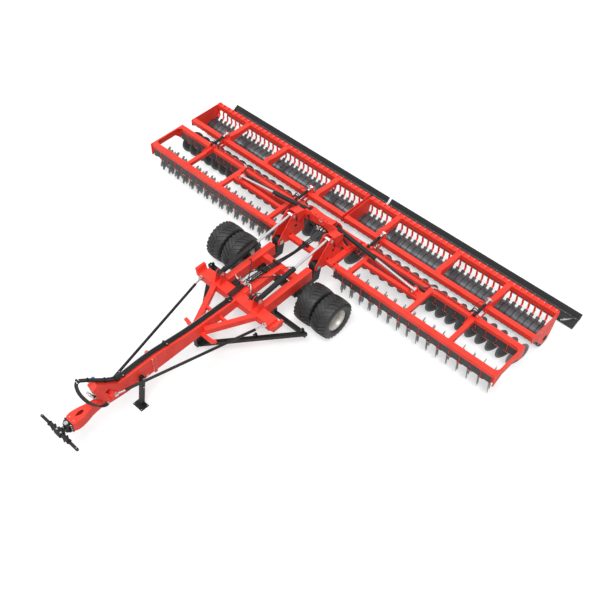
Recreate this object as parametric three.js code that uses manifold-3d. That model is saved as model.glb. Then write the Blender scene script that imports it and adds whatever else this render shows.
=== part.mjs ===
// Folding disc harrow, 12 m wide: a drawbar chassis on twin wheels, a lifting centre frame,
// two folding wings with two rows of discs, packer rollers and drag boards.
// Millimetres. +Z up, +Y to the rear, +X to the left-hand wing.
import * as THREE from "three";
import { mergeVertices } from "three/addons/utils/BufferGeometryUtils.js";
import Module from "manifold-3d";

const wasm = await Module();
wasm.setup();

// ---------------------------------------------------------------- driving sizes
const SEAT = 0.3;                 // gap between pieces that rest face to face
const RUN = 8;                    // running clearance of moving pieces
const ROUND = 12;                 // sides of a pin, a bar or a small hole
const ARC = 5;                    // steps of a rounded lug
const WHEEL_SIDES = 24;
const LAP = 5;                    // how far a welded piece runs into the one that carries it
const HIGH = 2000;                // a level above everything, for cuts

const HALF_WIDTH = 6000;          // centre line to the outer face of a wing
const FRAME_TOP = 950;            // top of the wing beams above the ground
const BEAM = 150;                 // rectangular tube of the wing frames, in Y
const BEAM_H = 120;               // and in Z
const FRONT_BEAM_Y = 30;          // front faces of the wing beams
const REAR_BEAM_Y = 1070;
const FOLD_X = 1050;              // fold hinge of a wing
const FOLD_Z = FRAME_TOP - 70;
const LIFT_Y = -250;              // lift pivot of the centre frame
const LIFT_Z = FRAME_TOP;
const LIFT_HOLE = 42;             // radii of the pivot holes
const FOLD_HOLE = 34;
const ROLLER_PIVOT_HOLE = 27;
const ROLLER_BEARING = 42;
const HUB_BORE = 52;

const TYRE_R = 537;               // 560/45-22.5 flotation tyre
const TYRE_W = 510;
const RIM_R = 292;
const AXLE_Y = -954;
const INNER_TYRE_X = 1307;
const OUTER_TYRE_X = 1859;

const DISC_R = 350;
const DISC_PITCH = 305;
const DISC_COUNT = 16;
const DISC_LIFT = 12;             // lowest point of a disc above the ground
const DISC_ANGLE = 17;            // set of a disc against the direction of travel
const FIRST_DISC_X = 1200;
const DISC_DEPTH = 52;
const DISC_THICK = 6;
const DISC_RAIL = 60;             // rail under the beam that holds the arms
const DISC_RAIL_BOTTOM = FRAME_TOP - 390;
const DISC_ARM = [40, 60];
const DISC_TRAIL = 290;           // disc centre behind the front face of its beam
const DISC_RAIL_END = 60;         // rail that runs past the end discs
const CENTRE_DISCS = 6;
const CENTRE_TRAIL = 125;         // the centre discs sit closer, clear of a folding roller frame

const ROLLER_R = 275;
const ROLLER_Y = REAR_BEAM_Y + 1230;
const ROLLER_TUBE_Y = REAR_BEAM_Y + 490;    // front face of the roller frame's front tube
const ROLLER_TUBE = 140;
const ROLLER_REAR_Y = REAR_BEAM_Y + 1651;   // rear face of the roller frame
const ROLLER_GAP = 40;                      // centre line to the inner face of a roller frame
const ROLLER_PIVOT_Y = REAR_BEAM_Y + 240;
const ROLLER_PIVOT_Z = FRAME_TOP - 150;

// Depth cylinders between wing and roller frame: their places across, and their pins in Y and Z.
const DEPTH_X = [1280, 4600];
const DEPTH_FRONT = [REAR_BEAM_Y + 60, FRAME_TOP + 85];
const DEPTH_REAR = [REAR_BEAM_Y + 650, FRAME_TOP + 140];

const BOARD_END_X = 6240;
const BOARD_HINGE_Y = ROLLER_REAR_Y - 31;
const BOARD_HINGE_Z = FRAME_TOP - 190;
const BOARD_ARMS = [700, 3000, 5700];
const BOARD_LUG_GAP = 120;
const BOARD_EYE = 30;

const SIDE_BEAM_X = 650;          // centre of the side beams and of the lift cylinders
const SIDE_BEAM_W = 180;
const SIDE_BEAM_BOTTOM = FRAME_TOP - 320;
const CROSS_Y = -2440;            // front face of the chassis cross beam
const CROSS_D = 300;
const CROSS_BOTTOM = FRAME_TOP - 230;
const CROSS_HALF = 1200;

const LIFT_BASE = [SIDE_BEAM_X, -2250, FRAME_TOP + 312];
const LIFT_PIN = [SIDE_BEAM_X, 232, FRAME_TOP + 563];
const FOLD_CYLINDER_Y = 775;
const FOLD_BASE = [470, FOLD_CYLINDER_Y, FRAME_TOP + 450];
const FOLD_PIN = [3030, FOLD_CYLINDER_Y, FRAME_TOP + 62];

const LUG = 20;                   // plate of the heavy lugs
const LIGHT_LUG = 18;
const DEPTH_LUG = 14;
const PIVOT_LUG = 16;
const BOARD_LUG = 12;
const LIFT_LUG_GAP = 150;         // clear widths between the lugs of each cylinder
const TOWER_GAP = 202;
const ARCH_GAP = 164;
const TRUSS_LUG_GAP = 134;
const DEPTH_GAP = 96;
const PIVOT_GAP = 110;            // between the arms of a roller frame at its pivot

const DRAWBAR_HALF = 110;
const DRAWBAR_SLOT_HALF = 78;     // half the clear width between the cheeks that hold the tongue
const DRAWBAR_NECK = [-5070, -3900];   // bolted flange, and where the drawbar starts to rise
const STRUT_Y = -3560;            // where the struts meet the drawbar
const LOWER_FRAME_Z = 350;
const LOWER_TUBE = 100;
const LOWER_CROSS_Y = [-1760, -1655];
const TENSION_ROD_R = 26;

const HITCH_Z = 900;
const HITCH_HALF = 655;
const TONGUE_PIN = [0, -6480, 860];
const TONGUE_EYE = 60;

// ---------------------------------------------------------------- solids
function solid(geometry) {
  const bare = geometry.clone();
  bare.deleteAttribute("normal");
  bare.deleteAttribute("uv");
  const merged = mergeVertices(bare, 1e-3);
  const mesh = new wasm.Mesh({
    numProp: 3,
    vertProperties: new Float32Array(merged.attributes.position.array),
    triVerts: new Uint32Array(merged.index.array),
  });
  return new wasm.Manifold(mesh);
}

function join(...pieces) {
  return pieces.flat().reduce((whole, piece) => whole.add(piece));
}

function box(x, y, z) {
  const geometry = new THREE.BoxGeometry(x[1] - x[0], y[1] - y[0], z[1] - z[0]);
  geometry.translate((x[0] + x[1]) / 2, (y[0] + y[1]) / 2, (z[0] + z[1]) / 2);
  return solid(geometry);
}

// A flat outline pushed along X (points are [y, z]), along Y ([x, z]) or along Z ([x, y]).
function plate(axis, from, to, outline, holes = []) {
  const shape = new THREE.Shape(outline.map(([u, v]) => new THREE.Vector2(u, v)));
  for (const [u, v, radius, sides = ROUND] of holes) {
    const ring = Array.from({ length: sides }, (_, i) => {
      const turn = (-2 * Math.PI * (i + 0.5)) / sides;
      return new THREE.Vector2(u + radius * Math.cos(turn), v + radius * Math.sin(turn));
    });
    shape.holes.push(new THREE.Path(ring));
  }
  const geometry = new THREE.ExtrudeGeometry(shape, { depth: to - from, bevelEnabled: false });
  const basis = {
    x: new THREE.Matrix4().set(0, 0, 1, from, 1, 0, 0, 0, 0, 1, 0, 0, 0, 0, 0, 1),
    y: new THREE.Matrix4().set(1, 0, 0, 0, 0, 0, -1, to, 0, 1, 0, 0, 0, 0, 0, 1),
    z: new THREE.Matrix4().set(1, 0, 0, 0, 0, 1, 0, 0, 0, 0, 1, from, 0, 0, 0, 1),
  }[axis];
  geometry.applyMatrix4(basis);
  return solid(geometry);
}

// Radius of a pin or journal that just turns in a faceted hole.
function journal(holeRadius, sides = ROUND) {
  return holeRadius * Math.cos(Math.PI / sides) - SEAT;
}

// Round bar between two points; halfTurned sets its corners between those of a like bar.
function bar(start, end, radius, sides = ROUND, halfTurned = false) {
  const a = new THREE.Vector3(...start);
  const b = new THREE.Vector3(...end);
  const geometry = new THREE.CylinderGeometry(radius, radius, a.distanceTo(b), sides);
  geometry.rotateY(halfTurned ? Math.PI / sides : 0);
  const turn = new THREE.Quaternion().setFromUnitVectors(
    new THREE.Vector3(0, 1, 0), b.clone().sub(a).normalize());
  geometry.applyQuaternion(turn);
  geometry.translate((a.x + b.x) / 2, (a.y + b.y) / 2, (a.z + b.z) / 2);
  return solid(geometry);
}

// Square tube between two points; width is level, height is in the upright plane of the beam.
function beam(start, end, width, height) {
  const a = new THREE.Vector3(...start);
  const b = new THREE.Vector3(...end);
  const along = b.clone().sub(a).normalize();
  const side = new THREE.Vector3().crossVectors(along, new THREE.Vector3(0, 0, 1)).normalize();
  const up = new THREE.Vector3().crossVectors(side, along);
  const geometry = new THREE.BoxGeometry(width, a.distanceTo(b), height);
  const place = new THREE.Matrix4().makeBasis(side, along, up);
  place.setPosition(a.clone().add(b).multiplyScalar(0.5));
  geometry.applyMatrix4(place);
  return solid(geometry);
}

// Turned piece on an axis along X: profile points are [radius, x].
function turned(profile, y, z, sides) {
  const points = profile.map(([radius, x]) => new THREE.Vector2(radius, x));
  const geometry = new THREE.LatheGeometry(points, sides);
  geometry.rotateY(Math.PI / sides);
  geometry.rotateZ(-Math.PI / 2);
  geometry.rotateX(Math.PI / sides + Math.PI / 2);
  geometry.translate(0, y, z);
  return solid(geometry);
}

// Round tube along a smooth path.
function tube(points, radius, sides, steps) {
  const path = new THREE.CatmullRomCurve3(points.map((point) => new THREE.Vector3(...point)));
  const ring = Array.from({ length: sides }, (_, i) => {
    const turn = (2 * Math.PI * i) / sides;
    return new THREE.Vector2(radius * Math.cos(turn), radius * Math.sin(turn));
  });
  const outline = new THREE.Shape(ring);
  return solid(new THREE.ExtrudeGeometry(outline, { steps, extrudePath: path, bevelEnabled: false }));
}

function arc(u, v, radius, fromDeg, toDeg, steps = ARC) {
  return Array.from({ length: steps + 1 }, (_, i) => {
    const turn = THREE.MathUtils.degToRad(fromDeg + ((toDeg - fromDeg) * i) / steps);
    return [u + radius * Math.cos(turn), v + radius * Math.sin(turn)];
  });
}

// ---------------------------------------------------------------- materials
const paint = (color, roughness, metalness) => () =>
  new THREE.MeshStandardMaterial({ color, roughness, metalness });
const redPaint = paint(0xe5402f, 0.4, 0.1);
const blackPaint = paint(0x2b2c2c, 0.5, 0.1);
const darkSteel = paint(0x3a3b3b, 0.45, 0.6);
const chrome = paint(0xd8dadb, 0.15, 1.0);
const rubber = paint(0x2a2a2b, 0.85, 0.0);
const rimPaint = paint(0xd9d6d0, 0.35, 0.3);
const hoseRubber = paint(0x1d1e1f, 0.7, 0.0);

// The origin is on the ground under the middle of the whole machine.
const FRONT_Y = -7760;
const REAR_Y = 3640;
const harrow = new THREE.Group();
harrow.position.y = -(FRONT_Y + REAR_Y) / 2;

function add(group, name, shape, material) {
  const mesh = shape.getMesh();
  const geometry = new THREE.BufferGeometry();
  geometry.setAttribute("position", new THREE.BufferAttribute(mesh.vertProperties, 3));
  geometry.setIndex(new THREE.BufferAttribute(mesh.triVerts, 1));
  const node = new THREE.Mesh(geometry, material());
  node.name = name;
  group.add(node);
}

// Two like plates on either side of a pin's middle, a clear gap apart.
function lugPair(axis, middle, gap, thick, outline, holes = []) {
  return [-1, 1].map((hand) => {
    const face = middle + (hand * gap) / 2;
    const [from, to] = hand > 0 ? [face, face + thick] : [face - thick, face];
    return plate(axis, from, to, outline, holes);
  });
}

// ---------------------------------------------------------------- chassis
const SIDE_REAR_Y = -430;
const REAR_TIE_Y = [-900, -740];
const LEG_X = [SIDE_BEAM_X - SIDE_BEAM_W / 2, SIDE_BEAM_X + SIDE_BEAM_W / 2];

function chassisFrame() {
  const crossRear = CROSS_Y + CROSS_D;
  const pieces = [
    box([-CROSS_HALF, CROSS_HALF], [CROSS_Y, crossRear], [CROSS_BOTTOM, FRAME_TOP]),
    box([-LEG_X[0], LEG_X[0]], REAR_TIE_Y, [SIDE_BEAM_BOTTOM + 60, FRAME_TOP - 60]),
    box([-DRAWBAR_HALF, DRAWBAR_HALF], [crossRear - LAP, REAR_TIE_Y[0] + 100],
      [CROSS_BOTTOM, FRAME_TOP - 20]),
  ];
  for (const side of [1, -1]) {
    const x = (value) => side * value;
    const span = (a, b) => [Math.min(x(a), x(b)), Math.max(x(a), x(b))];
    pieces.push(
      box(span(...LEG_X), [crossRear - LAP, SIDE_REAR_Y], [SIDE_BEAM_BOTTOM, FRAME_TOP]),
      beam([x(LEG_X[1]), CROSS_Y + 60, FRAME_TOP - 100], [x(150), STRUT_Y, FRAME_TOP - 100], 130, 160),
      // cradle that carries the folded wing
      plate("y", CROSS_Y, crossRear, [
        [x(CROSS_HALF - LAP), CROSS_BOTTOM + 40], [x(CROSS_HALF + 160), CROSS_BOTTOM + 80],
        [x(CROSS_HALF + 200), FRAME_TOP + 80], [x(CROSS_HALF + 130), FRAME_TOP + 80],
        [x(CROSS_HALF + 90), FRAME_TOP - 70], [x(CROSS_HALF - LAP), FRAME_TOP - 70],
      ]),
      // lugs of the lift cylinder
      ...lugPair("x", x(SIDE_BEAM_X), LIFT_LUG_GAP, LUG, [
        [CROSS_Y + 40, FRAME_TOP - LAP], [crossRear + 20, FRAME_TOP - LAP],
        ...arc(LIFT_BASE[1], LIFT_BASE[2], 70, -10, 190)]),
    );
  }
  const throatHalf = DRAWBAR_HALF + SEAT;
  const throat = box([-throatHalf, throatHalf], [STRUT_Y - 240, CROSS_Y], [0, HIGH]);
  return join(pieces).subtract(throat);
}

const DRAWBAR_REAR = CROSS_Y - SEAT;
function drawbar() {
  const [flangeY, neckY] = DRAWBAR_NECK;
  const underside = 700;
  const body = plate("x", -DRAWBAR_HALF, DRAWBAR_HALF, [
    [DRAWBAR_REAR, underside + 40], [DRAWBAR_REAR, 1010], [neckY, 1060], [flangeY, 1200], [-6060, 1180],
    [-6560, 1620], [-6700, 1560], [-6640, 1200], [-6560, 1030], [-6560, 800],
    [-6320, 760], [-5900, underside], [flangeY, underside], [neckY, underside],
  ].reverse());
  const slot = box([-DRAWBAR_SLOT_HALF, DRAWBAR_SLOT_HALF], [-6800, -6330], [underside, 1300]);
  const windowHalf = DRAWBAR_HALF + 90;
  const window = plate("x", -windowHalf, windowHalf,
    [[-6280, 930], [-6130, 1000], [-6330, 1260], [-6440, 1230]].reverse());
  const sideBox = (side, reach, y, z) => {
    const span = [DRAWBAR_HALF - LAP, DRAWBAR_HALF + reach];
    return box(side > 0 ? span : [-span[1], -span[0]], y, z);
  };
  const ears = [-1, 1].map((side) => sideBox(side, 90, [-6370, -6270], [930, 1060]));
  const flanges = [-1, 1].map((side) =>
    sideBox(side, 40, [flangeY - 40, flangeY + 40], [underside - 10, 1215]));
  return join(body.subtract(slot).subtract(window), ears, flanges);
}

function tensionRod(side) {
  const front = [side * (DRAWBAR_HALF + 48), -6262, 1000];
  const rear = [side * (CROSS_HALF - 80), CROSS_Y - 52, FRAME_TOP - 20];
  return join(
    bar(front, rear, TENSION_ROD_R),
    box([rear[0] - 40, rear[0] + 40], [CROSS_Y - 90, CROSS_Y - SEAT], [rear[2] - 40, FRAME_TOP - LAP]),
  );
}

function lowerFrame() {
  const height = LOWER_FRAME_Z;
  const half = LOWER_TUBE / 2;
  const pieces = [
    box([-1730, 1730], LOWER_CROSS_Y, [height - half, height + half]),
    box([-60, 60], [-3760, -3600], [height - half, 700 - SEAT]),
    ...[1, -1].map((side) => beam(
      [side * 1640, LOWER_CROSS_Y[0] + 40, height], [side * 30, -3680, height], LOWER_TUBE, LOWER_TUBE)),
    ...[SIDE_BEAM_X, -SIDE_BEAM_X].map((x) => box(
      [x - half, x + half], LOWER_CROSS_Y, [height + half - LAP, SIDE_BEAM_BOTTOM - SEAT])),
  ];
  return join(pieces);
}

function axleFrame() {
  const half = 80;
  const leg = { front: -1080, foot: TYRE_R - 90 };
  const pieces = [box([-940, 940], [AXLE_Y - half, AXLE_Y + half], [TYRE_R - half, TYRE_R + half])];
  for (const side of [1, -1]) {
    const span = side > 0 ? LEG_X : [-LEG_X[1], -LEG_X[0]];
    pieces.push(
      plate("x", span[0] + LAP, span[1] - LAP, [
        [leg.front, leg.foot], [-170, leg.foot], [-90, LIFT_Z - 190], [-120, LIFT_Z + 50],
        ...arc(LIFT_Y, LIFT_Z, 95, 30, 150), [-380, LIFT_Z - 50], [-400, SIDE_BEAM_BOTTOM - SEAT],
        [leg.front, SIDE_BEAM_BOTTOM - SEAT],
      ]),
      bar([side * 930, AXLE_Y, TYRE_R], [side * 1500, AXLE_Y, TYRE_R], journal(HUB_BORE, WHEEL_SIDES)),
      bar([span[0] - 60, LIFT_Y, LIFT_Z], [span[1] + 60, LIFT_Y, LIFT_Z], journal(LIFT_HOLE)),
    );
  }
  return join(pieces);
}

add(harrow, "chassis_frame", chassisFrame(), redPaint);
add(harrow, "drawbar", drawbar(), redPaint);
add(harrow, "lower_frame", lowerFrame(), blackPaint);
add(harrow, "axle_frame", axleFrame(), blackPaint);

// Bundle of hoses clamped along the top of the drawbar, and the arm that carries them forward.
const HOSE_R = 40;
const ARM_TIP = [0, -6930, 2050];
function drawbarHoses() {
  const lift = HOSE_R + 6;
  return tube([
    [0, -2500, 1010 + lift], [0, -2900, 1022 + lift], [0, -3900, 1062 + lift], [0, -4500, 1132 + lift],
    [0, -5070, 1215 + lift], [0, -5500, 1202 + lift], [0, -5940, 1193 + lift],
  ], HOSE_R, 8, 14);
}

function hoseArm() {
  return join(
    box([-60, 60], [-6055, -5960], [1182.5, 1310]),
    tube([[0, -6000, 1270], [0, -6350, 1500], [0, -6650, 1800], ARM_TIP], 24, 8, 6),
  );
}

const HOSE_LOOP = [
  [0, -6955, 2030], [2, -7005, 1900], [14, -7010, 1700], [36, -6975, 1500], [68, -6915, 1310],
  [100, -6835, 1160], [126, -6745, 1040], [144, -6650, 965], [155, -6560, 942], [160, -6480, 955],
];
function hoseLoop() {
  return tube(HOSE_LOOP, 22, 8, 30);
}

add(harrow, "drawbar_hoses", drawbarHoses(), hoseRubber);
add(harrow, "hose_arm", hoseArm(), blackPaint);
add(harrow, "hose_loop", hoseLoop(), hoseRubber);
add(harrow, "left_tension_rod", tensionRod(1), blackPaint);
add(harrow, "right_tension_rod", tensionRod(-1), blackPaint);

// ---------------------------------------------------------------- tongue, hitch and stand
const YAW_Y = -7470;              // upright pin between tongue and hitch
const TONGUE_FACE = -7400;
const TONGUE_HALF = 140;          // half its depth
const NECK_R = 60;
const NECK_HALF = 85;             // half the clear height of the tongue's mouth
function tongue() {
  const yoke = 110;
  const outline = [
    [-70, -6385], [70, -6385], [75, -6900], [120, -7150], [135, -7330], [yoke, TONGUE_FACE], [yoke, -7480],
    [60, -7530], [-60, -7530], [-yoke, -7480], [-yoke, TONGUE_FACE],
    [-135, -7330], [-120, -7150], [-75, -6900],
  ];
  const [bottom, top] = [HITCH_Z - TONGUE_HALF, HITCH_Z + TONGUE_HALF];
  const body = plate("z", bottom, top, outline);
  const mouth = box([-300, 300], [-7600, TONGUE_FACE], [HITCH_Z - NECK_HALF, HITCH_Z + NECK_HALF]);
  const recess = plate("z", top - 60, top + 100, [
    [-60, -7100], [0, -6990], [60, -7100], [40, -7240], [-40, -7240]]);
  const upper = plate("x", -200, 200, [[-6380, 1100], [-6380, 960], [-6700, 1060], [-6700, 1100]]);
  const [, ...eyePlace] = TONGUE_PIN;
  const eyeHalf = DRAWBAR_SLOT_HALF - SEAT;
  const eye = bar([-eyeHalf, ...eyePlace], [eyeHalf, ...eyePlace], TONGUE_EYE);
  return join(body.subtract(mouth).subtract(recess).subtract(upper), eye);
}

function hitch() {
  const reach = NECK_HALF - SEAT;
  const neck = bar([0, YAW_Y, HITCH_Z - reach], [0, YAW_Y, HITCH_Z + reach], NECK_R);
  return join(
    neck,
    box([-50, 50], [-7620, YAW_Y], [HITCH_Z - 60, HITCH_Z + 60]),
    box([-110, 110], [-7760, -7600], [HITCH_Z - 70, HITCH_Z + 70]),
    box([-300, 300], [-7730, -7620], [HITCH_Z - 55, HITCH_Z + 55]),
    bar([-HITCH_HALF, -7675, HITCH_Z], [HITCH_HALF, -7675, HITCH_Z], 37),
  );
}

const STAND_TUBE = 100;
const STAND_PIVOT = [-5490, 880];
function stand() {
  const middle = DRAWBAR_HALF + 5 + STAND_TUBE / 2;
  return join(
    beam([middle, -5650, 15], [middle, ...STAND_PIVOT], STAND_TUBE, STAND_TUBE),
    bar([DRAWBAR_HALF + SEAT, ...STAND_PIVOT], [middle + 60, ...STAND_PIVOT], 60),
    box([middle - 160, middle + 160], [-5790, -5560], [0, 20]),
  );
}

add(harrow, "tongue", tongue(), redPaint);
add(harrow, "hitch_crossbar", hitch(), blackPaint);
add(harrow, "parking_stand", stand(), blackPaint);

// ---------------------------------------------------------------- wheels
function tyre(x) {
  const half = TYRE_W / 2;
  const [flank, shoulder] = [TYRE_R - 137, TYRE_R - 37];
  const crown = half - 125;
  return turned([
    [RIM_R, x - half + 55], [RIM_R + 40, x - half + 15], [flank, x - half], [shoulder, x - half + 30],
    [TYRE_R, x - crown], [TYRE_R, x + crown], [shoulder, x + half - 30], [flank, x + half],
    [RIM_R + 40, x + half - 15], [RIM_R, x + half - 55], [RIM_R, x - half + 55],
  ], AXLE_Y, TYRE_R, WHEEL_SIDES);
}

// Both rims of a pair of wheels, dished towards each other and bolted to one hub.
function rims() {
  const half = TYRE_W / 2 - 50;
  const wall = RIM_R - SEAT;
  const dish = 24;
  const bed = wall - 22;
  const hole = 70;
  const shell = (x, disc) => turned([
    [wall, x - half], [wall, x + half], [bed, x + half], [bed, disc + dish / 2], [hole, disc + dish / 2],
    [hole, disc - dish / 2], [bed, disc - dish / 2], [bed, x - half], [wall, x - half],
  ], AXLE_Y, TYRE_R, WHEEL_SIDES);
  const innerDisc = INNER_TYRE_X + half - 20;
  const outerDisc = OUTER_TYRE_X - half + 20;
  const [hubFace, boreEnd] = [INNER_TYRE_X - 247, INNER_TYRE_X + 213];
  const hub = turned([
    [HUB_BORE, hubFace], [120, hubFace], [120, outerDisc + 20], [75, outerDisc + 50], [0, outerDisc + 50],
    [0, boreEnd], [HUB_BORE, boreEnd], [HUB_BORE, hubFace],
  ], AXLE_Y, TYRE_R, WHEEL_SIDES);
  return join(shell(INNER_TYRE_X, innerDisc), shell(OUTER_TYRE_X, outerDisc), hub);
}

for (const [name, side] of [["left", 1], ["right", -1]]) {
  const wheels = new THREE.Group();
  wheels.scale.x = side;
  harrow.add(wheels);
  add(wheels, `${name}_inner_tyre`, tyre(INNER_TYRE_X), rubber);
  add(wheels, `${name}_outer_tyre`, tyre(OUTER_TYRE_X), rubber);
  add(wheels, `${name}_wheel_rims`, rims(), rimPaint);
}

// ---------------------------------------------------------------- centre frame
const HINGE_LUG = 25;
const CENTRE_HALF = FOLD_X - (FRAME_TOP - FOLD_Z) - RUN;   // clears the top face of a folded wing
function centreFrame() {
  const sideOut = CENTRE_HALF;
  const sideRail = 160;
  const bottom = FRAME_TOP - BEAM_H;
  const rearFace = REAR_BEAM_Y + BEAM;
  const pieces = [
    box([-sideOut, sideOut], [FRONT_BEAM_Y, FRONT_BEAM_Y + BEAM], [bottom, FRAME_TOP]),
    box([-sideOut, sideOut], [REAR_BEAM_Y, rearFace], [bottom, FRAME_TOP]),
  ];
  for (const side of [1, -1]) {
    const span = (a, b) => (side > 0 ? [a, b] : [-b, -a]);
    pieces.push(box(span(sideOut - sideRail, sideOut), [FRONT_BEAM_Y, rearFace], [bottom, FRAME_TOP]));
    pieces.push(...lugPair("x", side * SIDE_BEAM_X, TOWER_GAP, LUG, [
      ...arc(LIFT_Y, LIFT_Z, 110, 150, 300), [20, bottom - 40], [620, bottom - 10], [620, FRAME_TOP - 10],
      [380, FRAME_TOP + 300],
      ...arc(LIFT_PIN[1], LIFT_PIN[2], 100, 20, 160),
    ], [[LIFT_Y, LIFT_Z, LIFT_HOLE]]));
    for (const y of [FRONT_BEAM_Y, REAR_BEAM_Y]) {
      for (const [y0, y1] of [[y, y + HINGE_LUG], [y + BEAM - HINGE_LUG, y + BEAM]]) {
        const outline = [
          [sideOut - LAP, bottom], ...arc(FOLD_X, FOLD_Z, 85, -80, 80), [sideOut - LAP, FRAME_TOP]];
        const mirrored = side > 0 ? outline : outline.map(([x, z]) => [-x, z]).reverse();
        pieces.push(plate("y", y0, y1, mirrored));
      }
      const [start, end] = [y + 10, y + BEAM - 10].map((place) => [side * FOLD_X, place, FOLD_Z]);
      pieces.push(bar(start, end, journal(FOLD_HOLE)));
    }
  }
  return join(pieces);
}

function foldArch() {
  const crown = FOLD_BASE[2] + 40;
  const half = [
    [0, crown], [250, crown + 20], ...arc(FOLD_BASE[0], FOLD_BASE[2], 110, 110, -40),
    [900, FRAME_TOP + 120], [CENTRE_HALF, FRAME_TOP + SEAT], [840, FRAME_TOP + SEAT], [600, crown - 310],
    [250, crown - 230], [0, crown - 210],
  ];
  const outline = [...half, ...half.slice(1, -1).reverse().map(([x, z]) => [-x, z])].reverse();
  const [, y] = FOLD_BASE;
  const web = ARCH_GAP / 2 + LIGHT_LUG / 2;       // half the length of the pieces that tie the plates
  return join(
    lugPair("y", y, ARCH_GAP, LIGHT_LUG, outline),
    box([-240, 240], [y - web, y + web], [crown - 180, crown - 10]),
    [1, -1].map((side) => box(
      side > 0 ? [850, 940] : [-940, -850], [y - web, y + web], [FRAME_TOP + SEAT, FRAME_TOP + 60])),
  );
}

add(harrow, "centre_frame", centreFrame(), redPaint);
add(harrow, "fold_arch", foldArch(), redPaint);

// ---------------------------------------------------------------- cylinders
function pointAlong(start, end, distance) {
  const a = new THREE.Vector3(...start);
  const b = new THREE.Vector3(...end);
  return a.add(b.sub(a).normalize().multiplyScalar(distance)).toArray();
}

// Barrel on a trunnion that fills the gap between its lugs, and rod with a crosshead at its pin.
function barrel({ base, pin, across, trunnion, lugGap, length, radius, bore, boreDepth }) {
  const half = lugGap / 2 - SEAT;
  const offset = (distance) => base.map((value, i) => value + across[i] * distance);
  return join(
    bar(pointAlong(base, pin, 10), pointAlong(base, pin, length), radius),
    bar(offset(-half), offset(half), trunnion),
  ).subtract(bar(pointAlong(base, pin, length - boreDepth), pointAlong(base, pin, length + 10), bore));
}

function rod({ base, pin, across, crosshead, pinGap, rodStart, rodRadius }) {
  const half = pinGap / 2 - SEAT;
  const offset = (distance) => pin.map((value, i) => value + across[i] * distance);
  const shank = bar(pointAlong(base, pin, rodStart), pin, rodRadius);
  return join(shank, bar(offset(-half), offset(half), crosshead));
}

const LIFT_CYLINDER = {
  base: LIFT_BASE, pin: LIFT_PIN, across: [1, 0, 0], trunnion: 60, lugGap: LIFT_LUG_GAP, length: 1270,
  radius: 70, bore: 42, boreDepth: 1150, crosshead: 45, pinGap: TOWER_GAP, rodStart: 1180, rodRadius: 35,
};
const FOLD_CYLINDER = {
  base: FOLD_BASE, pin: FOLD_PIN, across: [0, 1, 0], trunnion: 55, lugGap: ARCH_GAP, length: 1340, radius: 65,
  bore: 40, boreDepth: 1230, crosshead: 50, pinGap: TRUSS_LUG_GAP, rodStart: 1230, rodRadius: 33,
};

for (const [name, side] of [["left", 1], ["right", -1]]) {
  const cylinders = new THREE.Group();
  cylinders.scale.x = side;
  harrow.add(cylinders);
  add(cylinders, `${name}_lift_barrel`, barrel(LIFT_CYLINDER), blackPaint);
  add(cylinders, `${name}_lift_rod`, rod(LIFT_CYLINDER), chrome);
  add(cylinders, `${name}_fold_barrel`, barrel(FOLD_CYLINDER), blackPaint);
  add(cylinders, `${name}_fold_rod`, rod(FOLD_CYLINDER), chrome);
}

// Short cylinders between the wing's rear beam and the roller frame.
const DEPTH_CYLINDER = {
  across: [1, 0, 0], trunnion: 40, lugGap: DEPTH_GAP, length: 420, radius: 42, bore: 27, boreDepth: 330,
  crosshead: 36, pinGap: DEPTH_GAP, rodStart: 200, rodRadius: 22,
};
for (const [name, side] of [["left", 1], ["right", -1]]) {
  const cylinders = new THREE.Group();
  cylinders.scale.x = side;
  harrow.add(cylinders);
  DEPTH_X.forEach((x, i) => {
    const place = ["inner", "outer"][i];
    const cylinder = { ...DEPTH_CYLINDER, base: [x, ...DEPTH_FRONT], pin: [x, ...DEPTH_REAR] };
    add(cylinders, `${name}_${place}_depth_barrel`, barrel(cylinder), blackPaint);
    add(cylinders, `${name}_${place}_depth_rod`, rod(cylinder), chrome);
  });
}

// ---------------------------------------------------------------- wings
const CROSS_MEMBERS = [1430, 3300, 4600];
const MEMBER_W = 120;
const WING_INNER = FOLD_X + 100;
const END_PLATE = 20;             // thickness of the plate that closes a wing
const KNUCKLE_SIDE = HINGE_LUG + 7;   // centre frame's lug and the play beside a wing's hinge knuckle

function wingBeam(front) {
  const rear = front + BEAM;
  const bottom = FRAME_TOP - BEAM_H;
  const knuckle = box(
    [FOLD_X - 20, WING_INNER + LAP], [front + KNUCKLE_SIDE, rear - KNUCKLE_SIDE], [bottom, FRAME_TOP],
  ).subtract(bar([FOLD_X, front, FOLD_Z], [FOLD_X, rear, FOLD_Z], FOLD_HOLE, ROUND, true));
  return [box([WING_INNER, HALF_WIDTH - END_PLATE], [front, rear], [bottom, FRAME_TOP]), knuckle];
}

function wingFrontBeam() {
  return join(wingBeam(FRONT_BEAM_Y), CROSS_MEMBERS.map((x) => box(
    [x - MEMBER_W / 2, x + MEMBER_W / 2], [FRONT_BEAM_Y + BEAM - LAP, REAR_BEAM_Y - SEAT],
    [FRAME_TOP - BEAM_H, FRAME_TOP - 10],
  )));
}

function wingRearBeam() {
  return join(wingBeam(REAR_BEAM_Y), DEPTH_X.map(depthBracket));
}

function wingEndPlate() {
  const rear = REAR_BEAM_Y + BEAM + 10;
  const web = FRAME_TOP - 210;
  const toe = FRAME_TOP - 390;
  return plate("x", HALF_WIDTH - END_PLATE + SEAT, HALF_WIDTH, [
    [0, toe + 15], [40, toe], [200, web - 80], [320, web], [rear - 330, web], [rear - 220, web - 100],
    [rear - 170, toe + 15], [rear - 90, toe], [rear, web - 40], [rear, FRAME_TOP], [0, FRAME_TOP],
  ]);
}

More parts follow.
